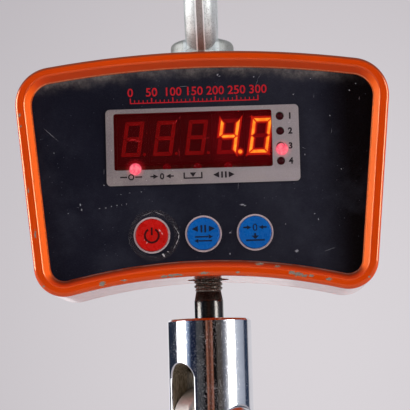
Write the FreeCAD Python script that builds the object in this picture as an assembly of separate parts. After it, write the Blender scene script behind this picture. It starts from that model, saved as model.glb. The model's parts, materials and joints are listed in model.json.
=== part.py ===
import FreeCAD, Part
import math
import os

# Electronic hanging scale: a die-cast case that hangs from a forged lifting eye, with a load
# cell inside and a swivelling clevis and hook below.  Millimetres, +Z up, +X to the right of
# somebody who reads the display, front towards -Y.  The origin is the centre of the eye's ring.

Vector = FreeCAD.Vector
AXIS_X = Vector(1, 0, 0)
AXIS_Y = Vector(0, 1, 0)
AXIS_Z = Vector(0, 0, 1)
ORIGIN = Vector(0, 0, 0)

# ---- fits ----------------------------------------------------------------------------------
running_gap = 0.05          # radial, between a pin or shaft and what turns on it
thread_gap = 0.05           # radial, between a thread's outside and its tapped hole
pin_gap = 0.02              # radial, round a roll pin
locating_gap = 0.15         # round a plate in its seat
guide_gap = 0.15            # radial, round a button in its hole
side_gap = 0.8              # each side of the hook's eye in the clevis slot

# ---- lifting eye ---------------------------------------------------------------------------
eye_hole_d = 30.0
eye_bar_radial = 12.0       # thickness of the ring's bar, measured from the hole outwards
eye_bar_width = 12.8        # thickness of the ring's bar along the hole
eye_land = 3.0              # width of the trimmed flat left by the forging's flash
eye_height = 25.7           # ring centre to the underside of the collar
eye_collar_d = 26.0
eye_collar_side = 4.9       # straight side of the collar
eye_collar_round = 2.4
eye_dome_rise = 1.9         # from the rounded edge up to the ring's bar
eye_collar_bevel = 0.6
thread_d = 11.5             # M12, its crests
eye_shank_length = 20.5
thread_lead_in = 1.2        # chamfer at the end of a thread
eye_seal_t = 1.0
eye_seal_d = 24.0

# ---- case outline --------------------------------------------------------------------------
case_width = 144.1          # at half the case's height
case_height = 89.8          # on the centre line
case_depth = 51.0
side_slope_deg = 5.65       # each side leans in towards the bottom
crown_radius = 415.0        # arched top
arch_radius = 225.0         # hollow underside
crown_corner_r = 15.0
foot_corner_r = 12.0
top_seat_depth = 0.3        # flat spot faced on the crown for the eye's seal
wall = 3.2
front_wall = 2.5
rim_round = 1.6
rim_flat = 2.0
rim_slope = 2.65            # width of the sloping inner side of the rim
rim_lip_round = 1.4         # between the rim's flat and its slope
rim_height = 3.5            # rim above the front film

# ---- rear cover ----------------------------------------------------------------------------
cover_depth = 5.4
cover_plate = 2.5
cover_round = 2.0
gasket_t = 0.6
gasket_inset = 0.8
gasket_width = 2.0
lip_t = 1.4
lip_length = 2.4
cover_screw_d = 3.0         # M3
cover_screw_length = 16.0
cover_screw_head_d = 5.6
cover_screw_head_h = 1.9
screw_inset = 8.8           # screw axis from both sides of its corner
screw_boss_d = 7.2
drive_d = 2.2               # cross recess of the small screws
drive_depth = 1.0
drive_blade = 0.55
screw_crown = 0.7           # bevelled edge of a small screw's head
screw_tip = 0.45
hole_spare = 0.6            # depth of a screw hole past the screw's tip

# ---- front panel ---------------------------------------------------------------------------
film_t = 0.5
bezel_x = -0.15             # centre of the bezel
bezel_rise = 7.3            # centre of the bezel above the middle of the case
bezel_width = 77.0
bezel_height = 30.7
bezel_t = 0.6
bezel_corner_r = 1.7
window_shift = -3.8         # centre of the visible window from the centre of the bezel
window_rise = 2.2
window_width = 63.1
window_height = 22.8
window_corner_r = 0.9
window_t = 1.5
window_overlap_side = 1.4   # hidden edge of the window plate behind the bezel
window_overlap_top = 1.2
window_overlap_bottom = 2.4

# ---- digits and lamps ----------------------------------------------------------------------
digit_count = 5
digit_pitch = 12.7          # 0.56 inch digits
digit_width = 12.5
digit_height = 19.0
digit_depth = 8.0
digits_shift = -2.45        # middle of the digits from the centre of the bezel
digits_rise = 3.2
digit_set_back = 0.3        # digit's face behind the window plate
lamp_d = 3.0
lamp_flange_d = 3.4
lamp_flange_t = 1.0
lamp_body = 5.0             # plastic body with its dome
lamp_lead_d = 0.5
lamp_lead_pitch = 1.6
lamp_hole_gap = 0.15
status_count = 4
status_pitch = 12.3
status_shift = -8.55        # middle of the row from the centre of the bezel
status_drop = 8.05
unit_count = 4
unit_pitch = 6.0
unit_shift = 31.0           # middle of the column from the centre of the bezel
unit_rise = 1.8
unit_proud = 0.9            # dome in front of the film

# ---- buttons -------------------------------------------------------------------------------
button_names = ("power", "hold", "zero")
button_x = -0.7             # centre button
button_rise = 16.85         # above the underside of the case
button_pitch = 20.45
button_d = 12.9
button_proud = 1.0          # cap in front of the film
button_crown = 0.35         # rounded edge of the cap
button_travel = 0.4
button_flange_d = 15.2
button_flange_t = 0.9
ring_d = 14.5
ring_t = 0.5
plunger_d = 3.5
switch_size = 6.0
switch_height = 3.6
switch_well = 1.0           # depth of the plunger's well at full travel, past its end

# ---- main board ----------------------------------------------------------------------------
board_t = 1.6
board_width = 74.0
board_x = -1.0
board_over_digits = 7.3     # room for the upper posts
board_under_buttons = 10.15
board_corner_r = 2.0
board_screw_inset = 3.6
board_screw_d = 2.5
board_screw_length = 6.0
board_screw_head_d = 4.4
board_screw_head_h = 1.2
board_post_d = 5.6

# ---- load cell -----------------------------------------------------------------------------
cell_width = 46.0
cell_depth = 19.0
cell_edge_r = 1.0
cell_seat_gap = 7.6         # crown of the case to the top of the cell, filled by the boss
cell_foot_gap = 8.2         # bottom of the cell to the underside of the case
cell_slot = 3.0
cell_slot_bar = 15.0        # height of the solid ends above and below the slots
cell_slot_stop = 8.0        # solid left at the closed end of a slot
cell_eye_d = 19.0           # the two holes of the measuring window
cell_eye_pitch = 21.0
cell_window_slot = 5.0
cell_thread_depth = 15.0
roll_pin_d = 4.0
roll_pin_bore = 2.4
roll_pin_drop = 7.0         # cross pin below the cell's top, and above its bottom

# ---- battery -------------------------------------------------------------------------------
battery_d = 14.2            # 14500 cells
battery_length = 48.6
battery_pitch = 14.8
battery_edge = 0.7          # bevel at both ends of a cell
battery_button_d = 5.5
battery_button_h = 0.9
battery_drop = 1.1          # middle of the cells below the middle of the case
contact_t = 0.4
contact_width = 5.0
contact_span = 10.0
tray_t = 1.2
tray_gap = 0.3
tray_end_room = 1.6         # contact springs at each end
tray_wall_height = 9.0
tray_board_gap = 1.6
tray_post_d = 6.0
tray_post_inset = 10.0      # from each end of the tray

# ---- charging socket -----------------------------------------------------------------------
socket_side = 25.05         # from the side of the case at half its height
socket_rise = 18.2          # above the underside of the case
socket_thread_d = 8.0
socket_flange_d = 11.0
socket_flange_t = 1.6
socket_length = 13.5        # behind the flange
socket_hole_d = 5.6
socket_hole_depth = 9.5
socket_pin_d = 2.0
socket_pin_drop = 0.5       # tip of the pin inside the mouth
socket_nut_d = 11.5
socket_nut_t = 2.0

# ---- swivel bolt and clevis ----------------------------------------------------------------
bolt_hole_d = 17.0          # in the case
bolt_gap = 16.2             # underside of the case to the clevis
bolt_thread_in_cell = 14.0
bolt_thread_shown = 5.7     # thread below the case
bolt_neck_d = 10.3          # under the thread, where a cone opens to the plain shank
bolt_cone = 3.4
bolt_shank_d = 11.8
bolt_head_d = 18.0
bolt_head_h = 11.0
bolt_head_edge = 0.8
bolt_hex = 10.0             # across flats of the socket in the head
bolt_hex_depth = 5.5
clevis_d = 34.0
clevis_length = 58.6
clevis_top_wall = 8.6
clevis_edge = 0.9
clevis_bore_d = 19.2
slot_edge = 0.5             # rounded edges of the slot, outside
slot_top_drop = 17.7        # top of the slot's arch below the clevis's top
bush_d = 15.0
bush_flange_t = 1.8
bush_flange_d = 18.6
pin_drop = 44.5             # pin axis below the clevis's top
pin_d = 12.0
pin_seat = 15.2             # pin axis: from the clevis axis out to the faced seat
pin_seat_gap = 0.6
pin_head_d = 19.0
pin_head_h = 3.6
pin_head_edge = 0.9         # straight side of the head below its dome
pin_head_flat_d = 10.5
pin_head_bulge = 0.45       # middle of the dome outside the chord of its arc, each way
pin_hex = 8.0
pin_hex_depth = 2.2
pin_thread_d = 9.9          # M10
pin_nut_af = 16.0
pin_nut_t = 5.0
pin_nut_corner_d = 17.8     # across the nut's corners, turned down
pin_nut_edge = 0.7
swivel_rest_deg = 225.0     # how the clevis hangs at rest: hook tip to the front left

# ---- hook ----------------------------------------------------------------------------------
hook_eye_d = 37.4
hook_eye_t = 11.2
hook_eye_round = 2.4
bowl_drop = 58.0            # pin axis to the centre of the bowl
bowl_radius = 16.0
saddle_depth = 21.0         # radial size of the section under the load
saddle_width = 16.0
section_taper = 0.16        # the inner side of a section is wider
hook_points = 12            # points round one section

# Sections down the shank and up the tip: sideways in bowl radii, down in bowl drops, the way to
# the inner side in degrees, then depth and width as shares of the saddle's.
shank_sections = ((0, 0.207, 0, 0.93, 0.525), (0, 0.345, -4, 0.833, 0.588),
                  (-0.163, 0.474, -28, 0.819, 0.713), (-0.663, 0.614, -42, 0.838, 0.85),
                  (-1.225, 0.797, -26, 0.857, 0.913))
tip_sections = ((1.563, 0.838, 183, 0.533, 0.638), (1.588, 0.721, 180, 0.419, 0.525),
                (1.6, 0.679, 180, 0.257, 0.35))
# Sections round the bowl: angle in degrees, then the same two shares.
bowl_sections = ((178, 0.886, 0.95), (216, 0.952, 0.98), (254, 1, 1), (290, 0.96, 0.98),
                 (326, 0.829, 0.9), (358, 0.648, 0.763))

# ---- latch ---------------------------------------------------------------------------------
latch_back = 0.469          # pivot behind the load line, in bowl radii
latch_down = 0.6345         # pivot below the pin axis, in bowl drops
latch_pin_d = 4.0
latch_pin_head_d = 6.5
latch_pin_head_t = 1.2
latch_t = 1.5
latch_tongue_start = 13.0   # clear of the shank
latch_shoulder = 3.5        # full width of the tongue beside the ears
latch_rise = 3.4            # outer face of the tongue above the pivot
latch_tip_gap = 0.5         # tongue's end to the inner side of the hook's tip
latch_tip_drop = 0.9        # tongue's end below the last full section of the tip
latch_ear_r = 5.0
latch_arm_taper = 0.9       # lower edge of an ear's arm, as a share of the ear's radius
latch_side_gap = 1.5        # room for the spring between the shank and each ear
latch_seat = 0.45           # half width of the shank at the pivot, as a share of the saddle's width
latch_end_width = 12.0
spring_wire = 1.0
spring_gap = 0.25           # radial, round the latch's pin
spring_side_gap = 0.1       # between the coil and the ear

# ---- worked out from the sizes above ---------------------------------------------------------
seat_z = -eye_height - eye_seal_t
case_top = seat_z + top_seat_depth
case_bottom = case_top - case_height
case_mid = case_top - case_height / 2
front_y = -case_depth / 2
rear_y = case_depth / 2
film_y = front_y + rim_height
wall_front_y = film_y + film_t
wall_back_y = wall_front_y + front_wall
cover_y = rear_y - cover_depth
split_y = cover_y - gasket_t
rim_inner = rim_round + rim_flat
rim_width = rim_inner + rim_slope
side_tan = math.tan(math.radians(side_slope_deg))
side_cos = math.cos(math.radians(side_slope_deg))
window_back_y = film_y + window_t
digit_face_y = window_back_y + digit_set_back
board_front_y = digit_face_y + digit_depth
board_back_y = board_front_y + board_t
bezel_z = case_mid + bezel_rise
window_x = bezel_x + window_shift
window_z = bezel_z + window_rise
digits_x = bezel_x + digits_shift
digits_z = bezel_z + digits_rise
status_x = bezel_x + status_shift
status_z = bezel_z - status_drop
unit_x = bezel_x + unit_shift
unit_z = bezel_z + unit_rise
button_z = case_bottom + button_rise
board_top = digits_z + digit_height / 2 + board_over_digits
board_bottom = button_z - board_under_buttons
cell_top = case_top - cell_seat_gap
cell_bottom = case_bottom + cell_foot_gap
battery_x = -(cell_width / 2 + case_width / 2 - wall) / 2
battery_top = case_mid - battery_drop + battery_length / 2
socket_x = case_width / 2 - socket_side
socket_z = case_bottom + socket_rise
clevis_top = case_bottom - bolt_gap
pin_z = clevis_top - pin_drop
bolt_head_top = clevis_top - clevis_top_wall - bush_flange_t
slot_width = hook_eye_t + 2 * side_gap
tray_y = board_back_y + tray_board_gap


# ---- helpers -------------------------------------------------------------------------------
def box(x0, x1, y0, y1, z0, z1):
    return Part.makeBox(x1 - x0, y1 - y0, z1 - z0, Vector(x0, y0, z0))


def rod(diameter, start, direction, length):
    return Part.makeCylinder(diameter / 2, length, start, direction)


def join(shapes):
    return shapes[0].multiFuse(shapes[1:]).removeSplitter()


def edges_along(shape, direction):
    found = []
    for edge in shape.Edges:
        if edge.Curve.TypeId != "Part::GeomLine":
            continue
        if abs(abs(edge.tangentAt(edge.FirstParameter).dot(direction)) - 1) < 1e-6:
            found.append(edge)
    return found


def edges_in_plane_y(shape, y):
    return [e for e in shape.Edges if all(abs(v.Y - y) < 1e-6 for v in e.Vertexes)]


def plate(x, z, width, height, y0, y1, corner_r):
    """A flat plate facing the front, centred on x and z, with round corners."""
    body = box(x - width / 2, x + width / 2, y0, y1, z - height / 2, z + height / 2)
    return body.makeFillet(corner_r, edges_along(body, AXIS_Y))


def round_edges(shape, direction, level):
    """Full circles that lie square to a direction, at a level measured along it."""
    found = []
    for edge in shape.Edges:
        if len(edge.Vertexes) == 1 and abs(edge.Vertexes[0].Point.dot(direction) - level) < 1e-6:
            found.append(edge)
    return found


def turned(profile, axis):
    """Revolves a closed profile of edges about an axis through the origin."""
    return Part.Face(Part.Wire(profile)).revolve(ORIGIN, axis, 360)


def line(a, b):
    return Part.LineSegment(a, b).toShape()


def arc(a, middle, b):
    return Part.Arc(a, middle, b).toShape()


def hexagon(across_flats, length, start, direction):
    """A hexagonal prism; two of its corners lie across from each other, square to its length."""
    radius = across_flats / math.sqrt(3)
    side = AXIS_Z if abs(direction.z) < 0.5 else AXIS_X
    other = direction.cross(side)
    points = []
    for i in range(6):
        angle = math.radians(60 * i)
        points.append(start + side * (radius * math.cos(angle)) + other * (radius * math.sin(angle)))
    face = Part.Face(Part.makePolygon(points + [points[0]]))
    return face.extrude(direction * length)


def hang(shape):
    """Turns a piece of the clevis or hook from its own plane to how it hangs at rest."""
    turned_shape = shape.copy()
    turned_shape.rotate(ORIGIN, AXIS_Z, swivel_rest_deg)
    return turned_shape


# ---- case ----------------------------------------------------------------------------------
def outline_corner(arc_r, arc_centre_z, inset):
    """Where the right side, moved in by inset, meets the arc of the crown or the underside."""
    offset = case_width / 2 - side_tan * case_mid - inset / side_cos
    a = side_tan * side_tan + 1
    b = offset * side_tan - arc_centre_z
    c = offset * offset + arc_centre_z * arc_centre_z - arc_r * arc_r
    z = (-b + math.sqrt(b * b - a * c)) / a
    return Vector(offset + side_tan * z, 0, z)


def case_corners(inset):
    """Right-hand corners, top and bottom, of the outline moved in by inset."""
    top = outline_corner(crown_radius - inset, case_top - crown_radius, inset)
    bottom = outline_corner(arch_radius + inset, case_bottom - arch_radius, inset)
    return top, bottom


def mirrored(point):
    return Vector(-point.x, point.y, point.z)


def case_prism(inset, y0, y1):
    """The case's outline, moved in by inset and with its corners rounded, from y0 to y1."""
    top, bottom = case_corners(inset)
    crown = arc(mirrored(top), Vector(0, 0, case_top - inset), top)
    arch = arc(bottom, Vector(0, 0, case_bottom + inset), mirrored(bottom))
    wire = Part.Wire([crown, line(top, bottom), arch, line(mirrored(bottom), mirrored(top))])
    face = Part.Face(wire)
    face.translate(Vector(0, y0, 0))
    solid = face.extrude(Vector(0, y1 - y0, 0))
    upper = [e for e in edges_along(solid, AXIS_Y) if e.Vertexes[0].Z > case_mid]
    solid = solid.makeFillet(crown_corner_r - inset, upper)
    lower = [e for e in edges_along(solid, AXIS_Y) if e.Vertexes[0].Z < case_mid]
    return solid.makeFillet(foot_corner_r - inset, lower)


def middle_of(edge):
    return edge.valueAt((edge.FirstParameter + edge.LastParameter) / 2)


def case_wire(inset, y):
    prism = case_prism(inset, y, y + 1)
    for face in prism.Faces:
        if abs(face.CenterOfMass.y - y) < 1e-6:
            return face.OuterWire
    raise ValueError("no end face")


def screw_points():
    top, bottom = case_corners(screw_inset)
    return [top, bottom, mirrored(bottom), mirrored(top)]


def button_points():
    return [Vector(button_x + (i - 1) * button_pitch, 0, button_z) for i in range(3)]


def status_points():
    first = status_x - status_pitch * (status_count - 1) / 2
    return [Vector(first + i * status_pitch, 0, status_z) for i in range(status_count)]


def unit_points():
    first = unit_z + unit_pitch * (unit_count - 1) / 2
    return [Vector(unit_x, 0, first - i * unit_pitch) for i in range(unit_count)]


def board_points():
    half = board_width / 2 - board_screw_inset
    high = board_top - board_screw_inset
    low = board_bottom + board_screw_inset
    return [Vector(board_x + s * half, 0, z) for s in (-1, 1) for z in (high, low)]


def make_housing():
    """Deep front half: rim, sloped recess, walls, front wall with its openings, bosses."""
    root_y = wall_back_y - front_wall / 2
    body = case_prism(0, front_y, split_y)
    body = body.makeFillet(rim_round, edges_in_plane_y(body, front_y))
    slope = Part.makeLoft([case_wire(rim_inner, front_y), case_wire(rim_width, film_y)], True, True)
    pocket = case_prism(rim_width, film_y, wall_front_y)
    cavity = case_prism(wall, wall_back_y, split_y)
    body = body.cut([slope, pocket, cavity])
    lip = case_prism(rim_round + rim_flat / 2, front_y - 1, front_y + 1)
    body = body.makeFillet(rim_lip_round, [e for e in edges_in_plane_y(body, front_y)
                                           if lip.isInside(middle_of(e), 0.01, True)])
    seat_boss = rod(eye_collar_d, Vector(0, 0, cell_top), AXIS_Z, cell_seat_gap - wall / 2)
    additions = [seat_boss.common(box(-eye_collar_d, eye_collar_d, -cell_depth / 2, cell_depth / 2,
                                      cell_top, case_top))]
    shell = case_prism(wall / 2, root_y, split_y)
    for point in screw_points():
        boss = rod(screw_boss_d, Vector(point.x, root_y, point.z), AXIS_Y, split_y - root_y)
        additions.append(boss.common(shell))
    for point in board_points():
        start = Vector(point.x, root_y, point.z)
        additions.append(rod(board_post_d, start, AXIS_Y, board_front_y - root_y))
    for point in tray_post_points():
        start = Vector(point.x, root_y, point.z)
        additions.append(rod(tray_post_d, start, AXIS_Y, tray_y - root_y))
    body = join([body] + additions)
    cuts = [rod(eye_seal_d + 2 * locating_gap, Vector(0, 0, seat_z), AXIS_Z, eye_height),
            rod(thread_d + 4 * locating_gap, Vector(0, 0, cell_top - 1), AXIS_Z, eye_height),
            rod(bolt_hole_d, Vector(0, 0, case_bottom - 1), AXIS_Z, wall + 2)]
    lamp_top = unit_points()[0].z + lamp_d
    opening_left = digits_x - digit_pitch * digit_count / 2 - 2 * locating_gap
    opening_right = unit_x + lamp_d / 2 + 2 * locating_gap
    cuts.append(box(opening_left, opening_right, wall_front_y - 1, wall_back_y + 1,
                    status_z - lamp_d / 2 - 2 * locating_gap, digits_z + digit_height / 2 + locating_gap))
    left, right, low, high = window_plate_limits()
    cuts.append(box(left - locating_gap, right + locating_gap, wall_front_y - 1, window_back_y,
                    low - locating_gap, high + locating_gap))
    for point in button_points():
        start = Vector(point.x, wall_front_y - 1, point.z)
        cuts.append(rod(button_d + 2 * guide_gap, start, AXIS_Y, front_wall + 2))
    for point in screw_points():
        start = Vector(point.x, split_y, point.z)
        cuts.append(rod(cover_screw_d + 2 * thread_gap, start, -AXIS_Y, screw_hole_depth()))
    for point in board_points():
        start = Vector(point.x, board_front_y, point.z)
        cuts.append(rod(board_screw_d + 2 * thread_gap, start, -AXIS_Y,
                        board_screw_length - board_t + hole_spare))
    for point in tray_post_points():
        start = Vector(point.x, tray_y, point.z)
        cuts.append(rod(board_screw_d + 2 * thread_gap, start, -AXIS_Y,
                        board_screw_length - tray_t + hole_spare))
    return body.cut(cuts)


def screw_hole_depth():
    return cover_screw_length - gasket_t - (cover_depth - cover_screw_head_h) + hole_spare


def window_plate_limits():
    left = window_x - window_width / 2 - window_overlap_side
    right = window_x + window_width / 2 + window_overlap_side
    low = window_z - window_height / 2 - window_overlap_bottom
    high = window_z + window_height / 2 + window_overlap_top
    return left, right, low, high


def make_rear_cover():
    """Shallow lid with a locating lip, screw pillars and sunk screw heads."""
    body = case_prism(0, cover_y, rear_y)
    body = body.makeFillet(cover_round, edges_in_plane_y(body, rear_y))
    inside = case_prism(wall, cover_y, rear_y - cover_plate)
    body = body.cut(inside)
    lip_inset = wall + locating_gap
    lip = case_prism(lip_inset, cover_y - lip_length, rear_y - cover_plate)
    lip = lip.cut(case_prism(lip_inset + lip_t, cover_y - lip_length, rear_y - cover_plate))
    gaps = [rod(screw_boss_d + 4 * locating_gap, Vector(p.x, cover_y - lip_length - 1, p.z), AXIS_Y,
                lip_length + 1) for p in screw_points()]
    lip = lip.cut(gaps)
    shell = case_prism(wall / 2, cover_y, rear_y)
    pillars = [rod(screw_boss_d, Vector(p.x, cover_y, p.z), AXIS_Y,
                   cover_depth - cover_plate / 2).common(shell) for p in screw_points()]
    body = join([body, lip] + pillars)
    cuts = []
    for point in screw_points():
        hole = Vector(point.x, cover_y - 1, point.z)
        sink = Vector(point.x, rear_y - cover_screw_head_h, point.z)
        cuts.append(rod(cover_screw_d + 2 * locating_gap, hole, AXIS_Y, cover_depth + 2))
        cuts.append(rod(cover_screw_head_d + 2 * locating_gap, sink, AXIS_Y, cover_screw_head_h + 1))
    socket = Vector(socket_x, cover_y, socket_z)
    cuts.append(rod(socket_thread_d + 2 * locating_gap, socket, AXIS_Y, cover_depth + 1))
    return body.cut(cuts)


def make_gasket():
    ring = case_prism(gasket_inset, split_y, cover_y)
    return ring.cut(case_prism(gasket_inset + gasket_width, split_y, cover_y))


def small_screw(head_point, direction, thread, length, head_d, head_h):
    """Pan-head screw; head_point is the centre of the head's underside, direction the tip's."""
    far = head_point + direction * length
    crown = head_point - direction * head_h
    shank = rod(thread, head_point, direction, length)
    shank = shank.makeChamfer(screw_tip, round_edges(shank, direction, far.dot(direction)))
    head = rod(head_d, head_point, -direction, head_h)
    head = head.makeChamfer(screw_crown, round_edges(head, direction, crown.dot(direction)))
    across = direction.cross(AXIS_Z)
    slots = []
    for one, other in ((AXIS_Z, across), (across, AXIS_Z)):
        low = crown - one * (drive_d / 2) - other * (drive_blade / 2)
        corners = [low, low + one * drive_d, low + one * drive_d + other * drive_blade,
                   low + other * drive_blade]
        slots.append(Part.Face(Part.makePolygon(corners + [low])).extrude(direction * drive_depth))
    return shank.fuse(head).removeSplitter().cut(slots)


def make_cover_screws():
    screws = []
    for point in screw_points():
        seat = Vector(point.x, rear_y - cover_screw_head_h, point.z)
        screws.append(small_screw(seat, -AXIS_Y, cover_screw_d, cover_screw_length,
                                  cover_screw_head_d, cover_screw_head_h))
    return Part.makeCompound(screws)


# ---- front panel ---------------------------------------------------------------------------
def make_front_film():
    film = case_prism(rim_width + locating_gap, film_y, wall_front_y)
    left, right, low, high = window_plate_limits()
    cuts = [box(left - locating_gap, right + locating_gap, film_y - 1, wall_front_y + 1,
                low - locating_gap, high + locating_gap)]
    for point in button_points():
        start = Vector(point.x, film_y - 1, point.z)
        cuts.append(rod(button_d + 2 * guide_gap, start, AXIS_Y, film_t + 2))
    for point in unit_points():
        start = Vector(point.x, film_y - 1, point.z)
        cuts.append(rod(lamp_d + 2 * lamp_hole_gap, start, AXIS_Y, film_t + 2))
    return film.cut(cuts)


def make_window():
    left, right, low, high = window_plate_limits()
    return box(left, right, film_y, window_back_y, low, high)


def make_bezel():
    """Flat frame round the window, with a hole for each unit lamp."""
    frame = plate(bezel_x, bezel_z, bezel_width, bezel_height, film_y - bezel_t, film_y, bezel_corner_r)
    cuts = [plate(window_x, window_z, window_width, window_height,
                  film_y - 2 * bezel_t, film_y + bezel_t, window_corner_r)]
    for point in unit_points():
        start = Vector(point.x, film_y - 2 * bezel_t, point.z)
        cuts.append(rod(lamp_d + 2 * lamp_hole_gap, start, AXIS_Y, 3 * bezel_t))
    return frame.cut(cuts)


def make_digit(index):
    """One seven-segment module: a plain block; its back rests on the main board."""
    centre = digits_x + (index - (digit_count - 1) / 2) * digit_pitch
    return box(centre - digit_width / 2, centre + digit_width / 2, digit_face_y, board_front_y,
               digits_z - digit_height / 2, digits_z + digit_height / 2)


def lamp(point, front_y_of_dome):
    """A 3 mm lamp: dome, body and flange, with two leads down to the board."""
    r = lamp_d / 2
    back = front_y_of_dome + lamp_body
    body = rod(lamp_d, Vector(point.x, front_y_of_dome + r, point.z), AXIS_Y, lamp_body - r)
    dome = Part.makeSphere(r, Vector(point.x, front_y_of_dome + r, point.z))
    flange = rod(lamp_flange_d, Vector(point.x, back - lamp_flange_t, point.z), AXIS_Y, lamp_flange_t)
    parts = [body, dome, flange]
    for side in (-1, 1):
        start = Vector(point.x + side * lamp_lead_pitch / 2, back, point.z)
        parts.append(rod(lamp_lead_d, start, AXIS_Y, board_front_y - back))
    return join(parts)


def make_status_lamps():
    return Part.makeCompound([lamp(p, window_back_y + digit_set_back) for p in status_points()])


def make_unit_lamps():
    return Part.makeCompound([lamp(p, film_y - unit_proud) for p in unit_points()])


def make_button_rings():
    rings = []
    for point in button_points():
        start = Vector(point.x, film_y - ring_t, point.z)
        ring = rod(ring_d, start, AXIS_Y, ring_t)
        rings.append(ring.cut(rod(button_d + 2 * guide_gap, start, AXIS_Y, ring_t)))
    return Part.makeCompound(rings)


def make_button(point):
    """Round cap that passes the front wall, with a flange that stops behind it."""
    front = film_y - button_proud
    cap = rod(button_d, Vector(point.x, front, point.z), AXIS_Y, wall_back_y - front)
    cap = cap.makeFillet(button_crown, round_edges(cap, AXIS_Y, front))
    flange = rod(button_flange_d, Vector(point.x, wall_back_y, point.z), AXIS_Y, button_flange_t)
    return join([cap, flange])


def switch_front():
    return board_front_y - switch_height


def make_plunger(point):
    """Plunger of the key switch; it rests on the back of the button and moves with it."""
    start = Vector(point.x, wall_back_y + button_flange_t, point.z)
    return rod(plunger_d, start, AXIS_Y, switch_front() - start.y + switch_well)


def make_key_switches():
    switches = []
    half = switch_size / 2
    for point in button_points():
        body = box(point.x - half, point.x + half, switch_front(), board_front_y,
                   point.z - half, point.z + half)
        well = rod(plunger_d + 2 * guide_gap, Vector(point.x, switch_front(), point.z), AXIS_Y,
                   2 * switch_well + button_travel)
        switches.append(body.cut(well))
    return Part.makeCompound(switches)


def make_main_board():
    height = board_top - board_bottom
    board = plate(board_x, board_top - height / 2, board_width, height,
                  board_front_y, board_back_y, board_corner_r)
    holes = [rod(board_screw_d + 2 * locating_gap, Vector(p.x, board_front_y - 1, p.z), AXIS_Y,
                 board_t + 2) for p in board_points()]
    return board.cut(holes)


def make_board_screws():
    return Part.makeCompound([small_screw(Vector(p.x, board_back_y, p.z), -AXIS_Y, board_screw_d,
                                          board_screw_length, board_screw_head_d, board_screw_head_h)
                              for p in board_points()])


# ---- load cell -----------------------------------------------------------------------------
def make_load_cell():
    """S-shaped beam: a slot from each side and a two-eyed measuring window between them."""
    half_w = cell_width / 2
    half_d = cell_depth / 2
    middle = (cell_top + cell_bottom) / 2
    body = box(-half_w, half_w, -half_d, half_d, cell_bottom, cell_top)
    body = body.makeFillet(cell_edge_r, edges_along(body, AXIS_Y))
    high = cell_top - cell_slot_bar
    low = cell_bottom + cell_slot_bar
    cuts = [box(-half_w - 1, half_w - cell_slot_stop, -half_d - 1, half_d + 1, high - cell_slot, high),
            box(-half_w + cell_slot_stop, half_w + 1, -half_d - 1, half_d + 1, low, low + cell_slot)]
    for side in (-1, 1):
        start = Vector(side * cell_eye_pitch / 2, -half_d - 1, middle)
        cuts.append(rod(cell_eye_d, start, AXIS_Y, cell_depth + 2))
    cuts.append(box(-cell_eye_pitch / 2, cell_eye_pitch / 2, -half_d - 1, half_d + 1,
                    middle - cell_window_slot / 2, middle + cell_window_slot / 2))
    tapped = thread_d + 2 * thread_gap
    cuts.append(rod(tapped, Vector(0, 0, cell_top - cell_thread_depth), AXIS_Z, cell_thread_depth + 1))
    cuts.append(rod(tapped, Vector(0, 0, cell_bottom - 1), AXIS_Z, cell_thread_depth + 1))
    for z in roll_pin_heights():
        cuts.append(rod(roll_pin_d + 2 * pin_gap, Vector(0, -half_d - 1, z), AXIS_Y, cell_depth + 2))
    return body.cut(cuts)


def roll_pin_heights():
    return [cell_top - roll_pin_drop, cell_bottom + roll_pin_drop]


def make_roll_pin(z):
    start = Vector(0, -cell_depth / 2, z)
    pin = rod(roll_pin_d, start, AXIS_Y, cell_depth)
    return pin.cut(rod(roll_pin_bore, start, AXIS_Y, cell_depth))


# ---- battery -------------------------------------------------------------------------------
def battery_axes():
    y = tray_y + tray_t + tray_gap + battery_d / 2
    return [Vector(battery_x + s * battery_pitch / 2, y, battery_top - battery_length) for s in (-1, 1)]


def make_batteries():
    cells = []
    for foot in battery_axes():
        can = rod(battery_d, foot, AXIS_Z, battery_length - battery_button_h)
        can = can.makeChamfer(battery_edge, [e for e in can.Edges if len(e.Vertexes) == 1])
        middle = foot + AXIS_Z * (battery_length / 2)
        cells.append(join([can, rod(battery_button_d, middle, AXIS_Z, battery_length / 2)]))
    return Part.makeCompound(cells)


def tray_limits():
    half = (battery_pitch + battery_d) / 2 + tray_gap + tray_t
    top = battery_top + tray_end_room + tray_t
    bottom = battery_top - battery_length - tray_end_room - tray_t
    return battery_x - half, battery_x + half, bottom, top


def tray_post_points():
    left, right, bottom, top = tray_limits()
    return [Vector(battery_x, 0, z) for z in (top - tray_post_inset, bottom + tray_post_inset)]


def make_battery_tray():
    """Open tray with end walls that carry bowed contact springs."""
    left, right, bottom, top = tray_limits()
    tray = box(left, right, tray_y, tray_y + tray_wall_height, bottom, top)
    room = box(left + tray_t, right - tray_t, tray_y + tray_t, tray_y + tray_wall_height + 1,
               bottom + tray_t, top - tray_t)
    tray = tray.cut(room)
    holes = [rod(board_screw_d + 2 * locating_gap, Vector(p.x, tray_y - 1, p.z), AXIS_Y, tray_t + 2)
             for p in tray_post_points()]
    return tray.cut(holes)


def make_tray_screws():
    return Part.makeCompound([small_screw(Vector(p.x, tray_y + tray_t, p.z), -AXIS_Y, board_screw_d,
                                          board_screw_length, board_screw_head_d, board_screw_head_h)
                              for p in tray_post_points()])


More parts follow.
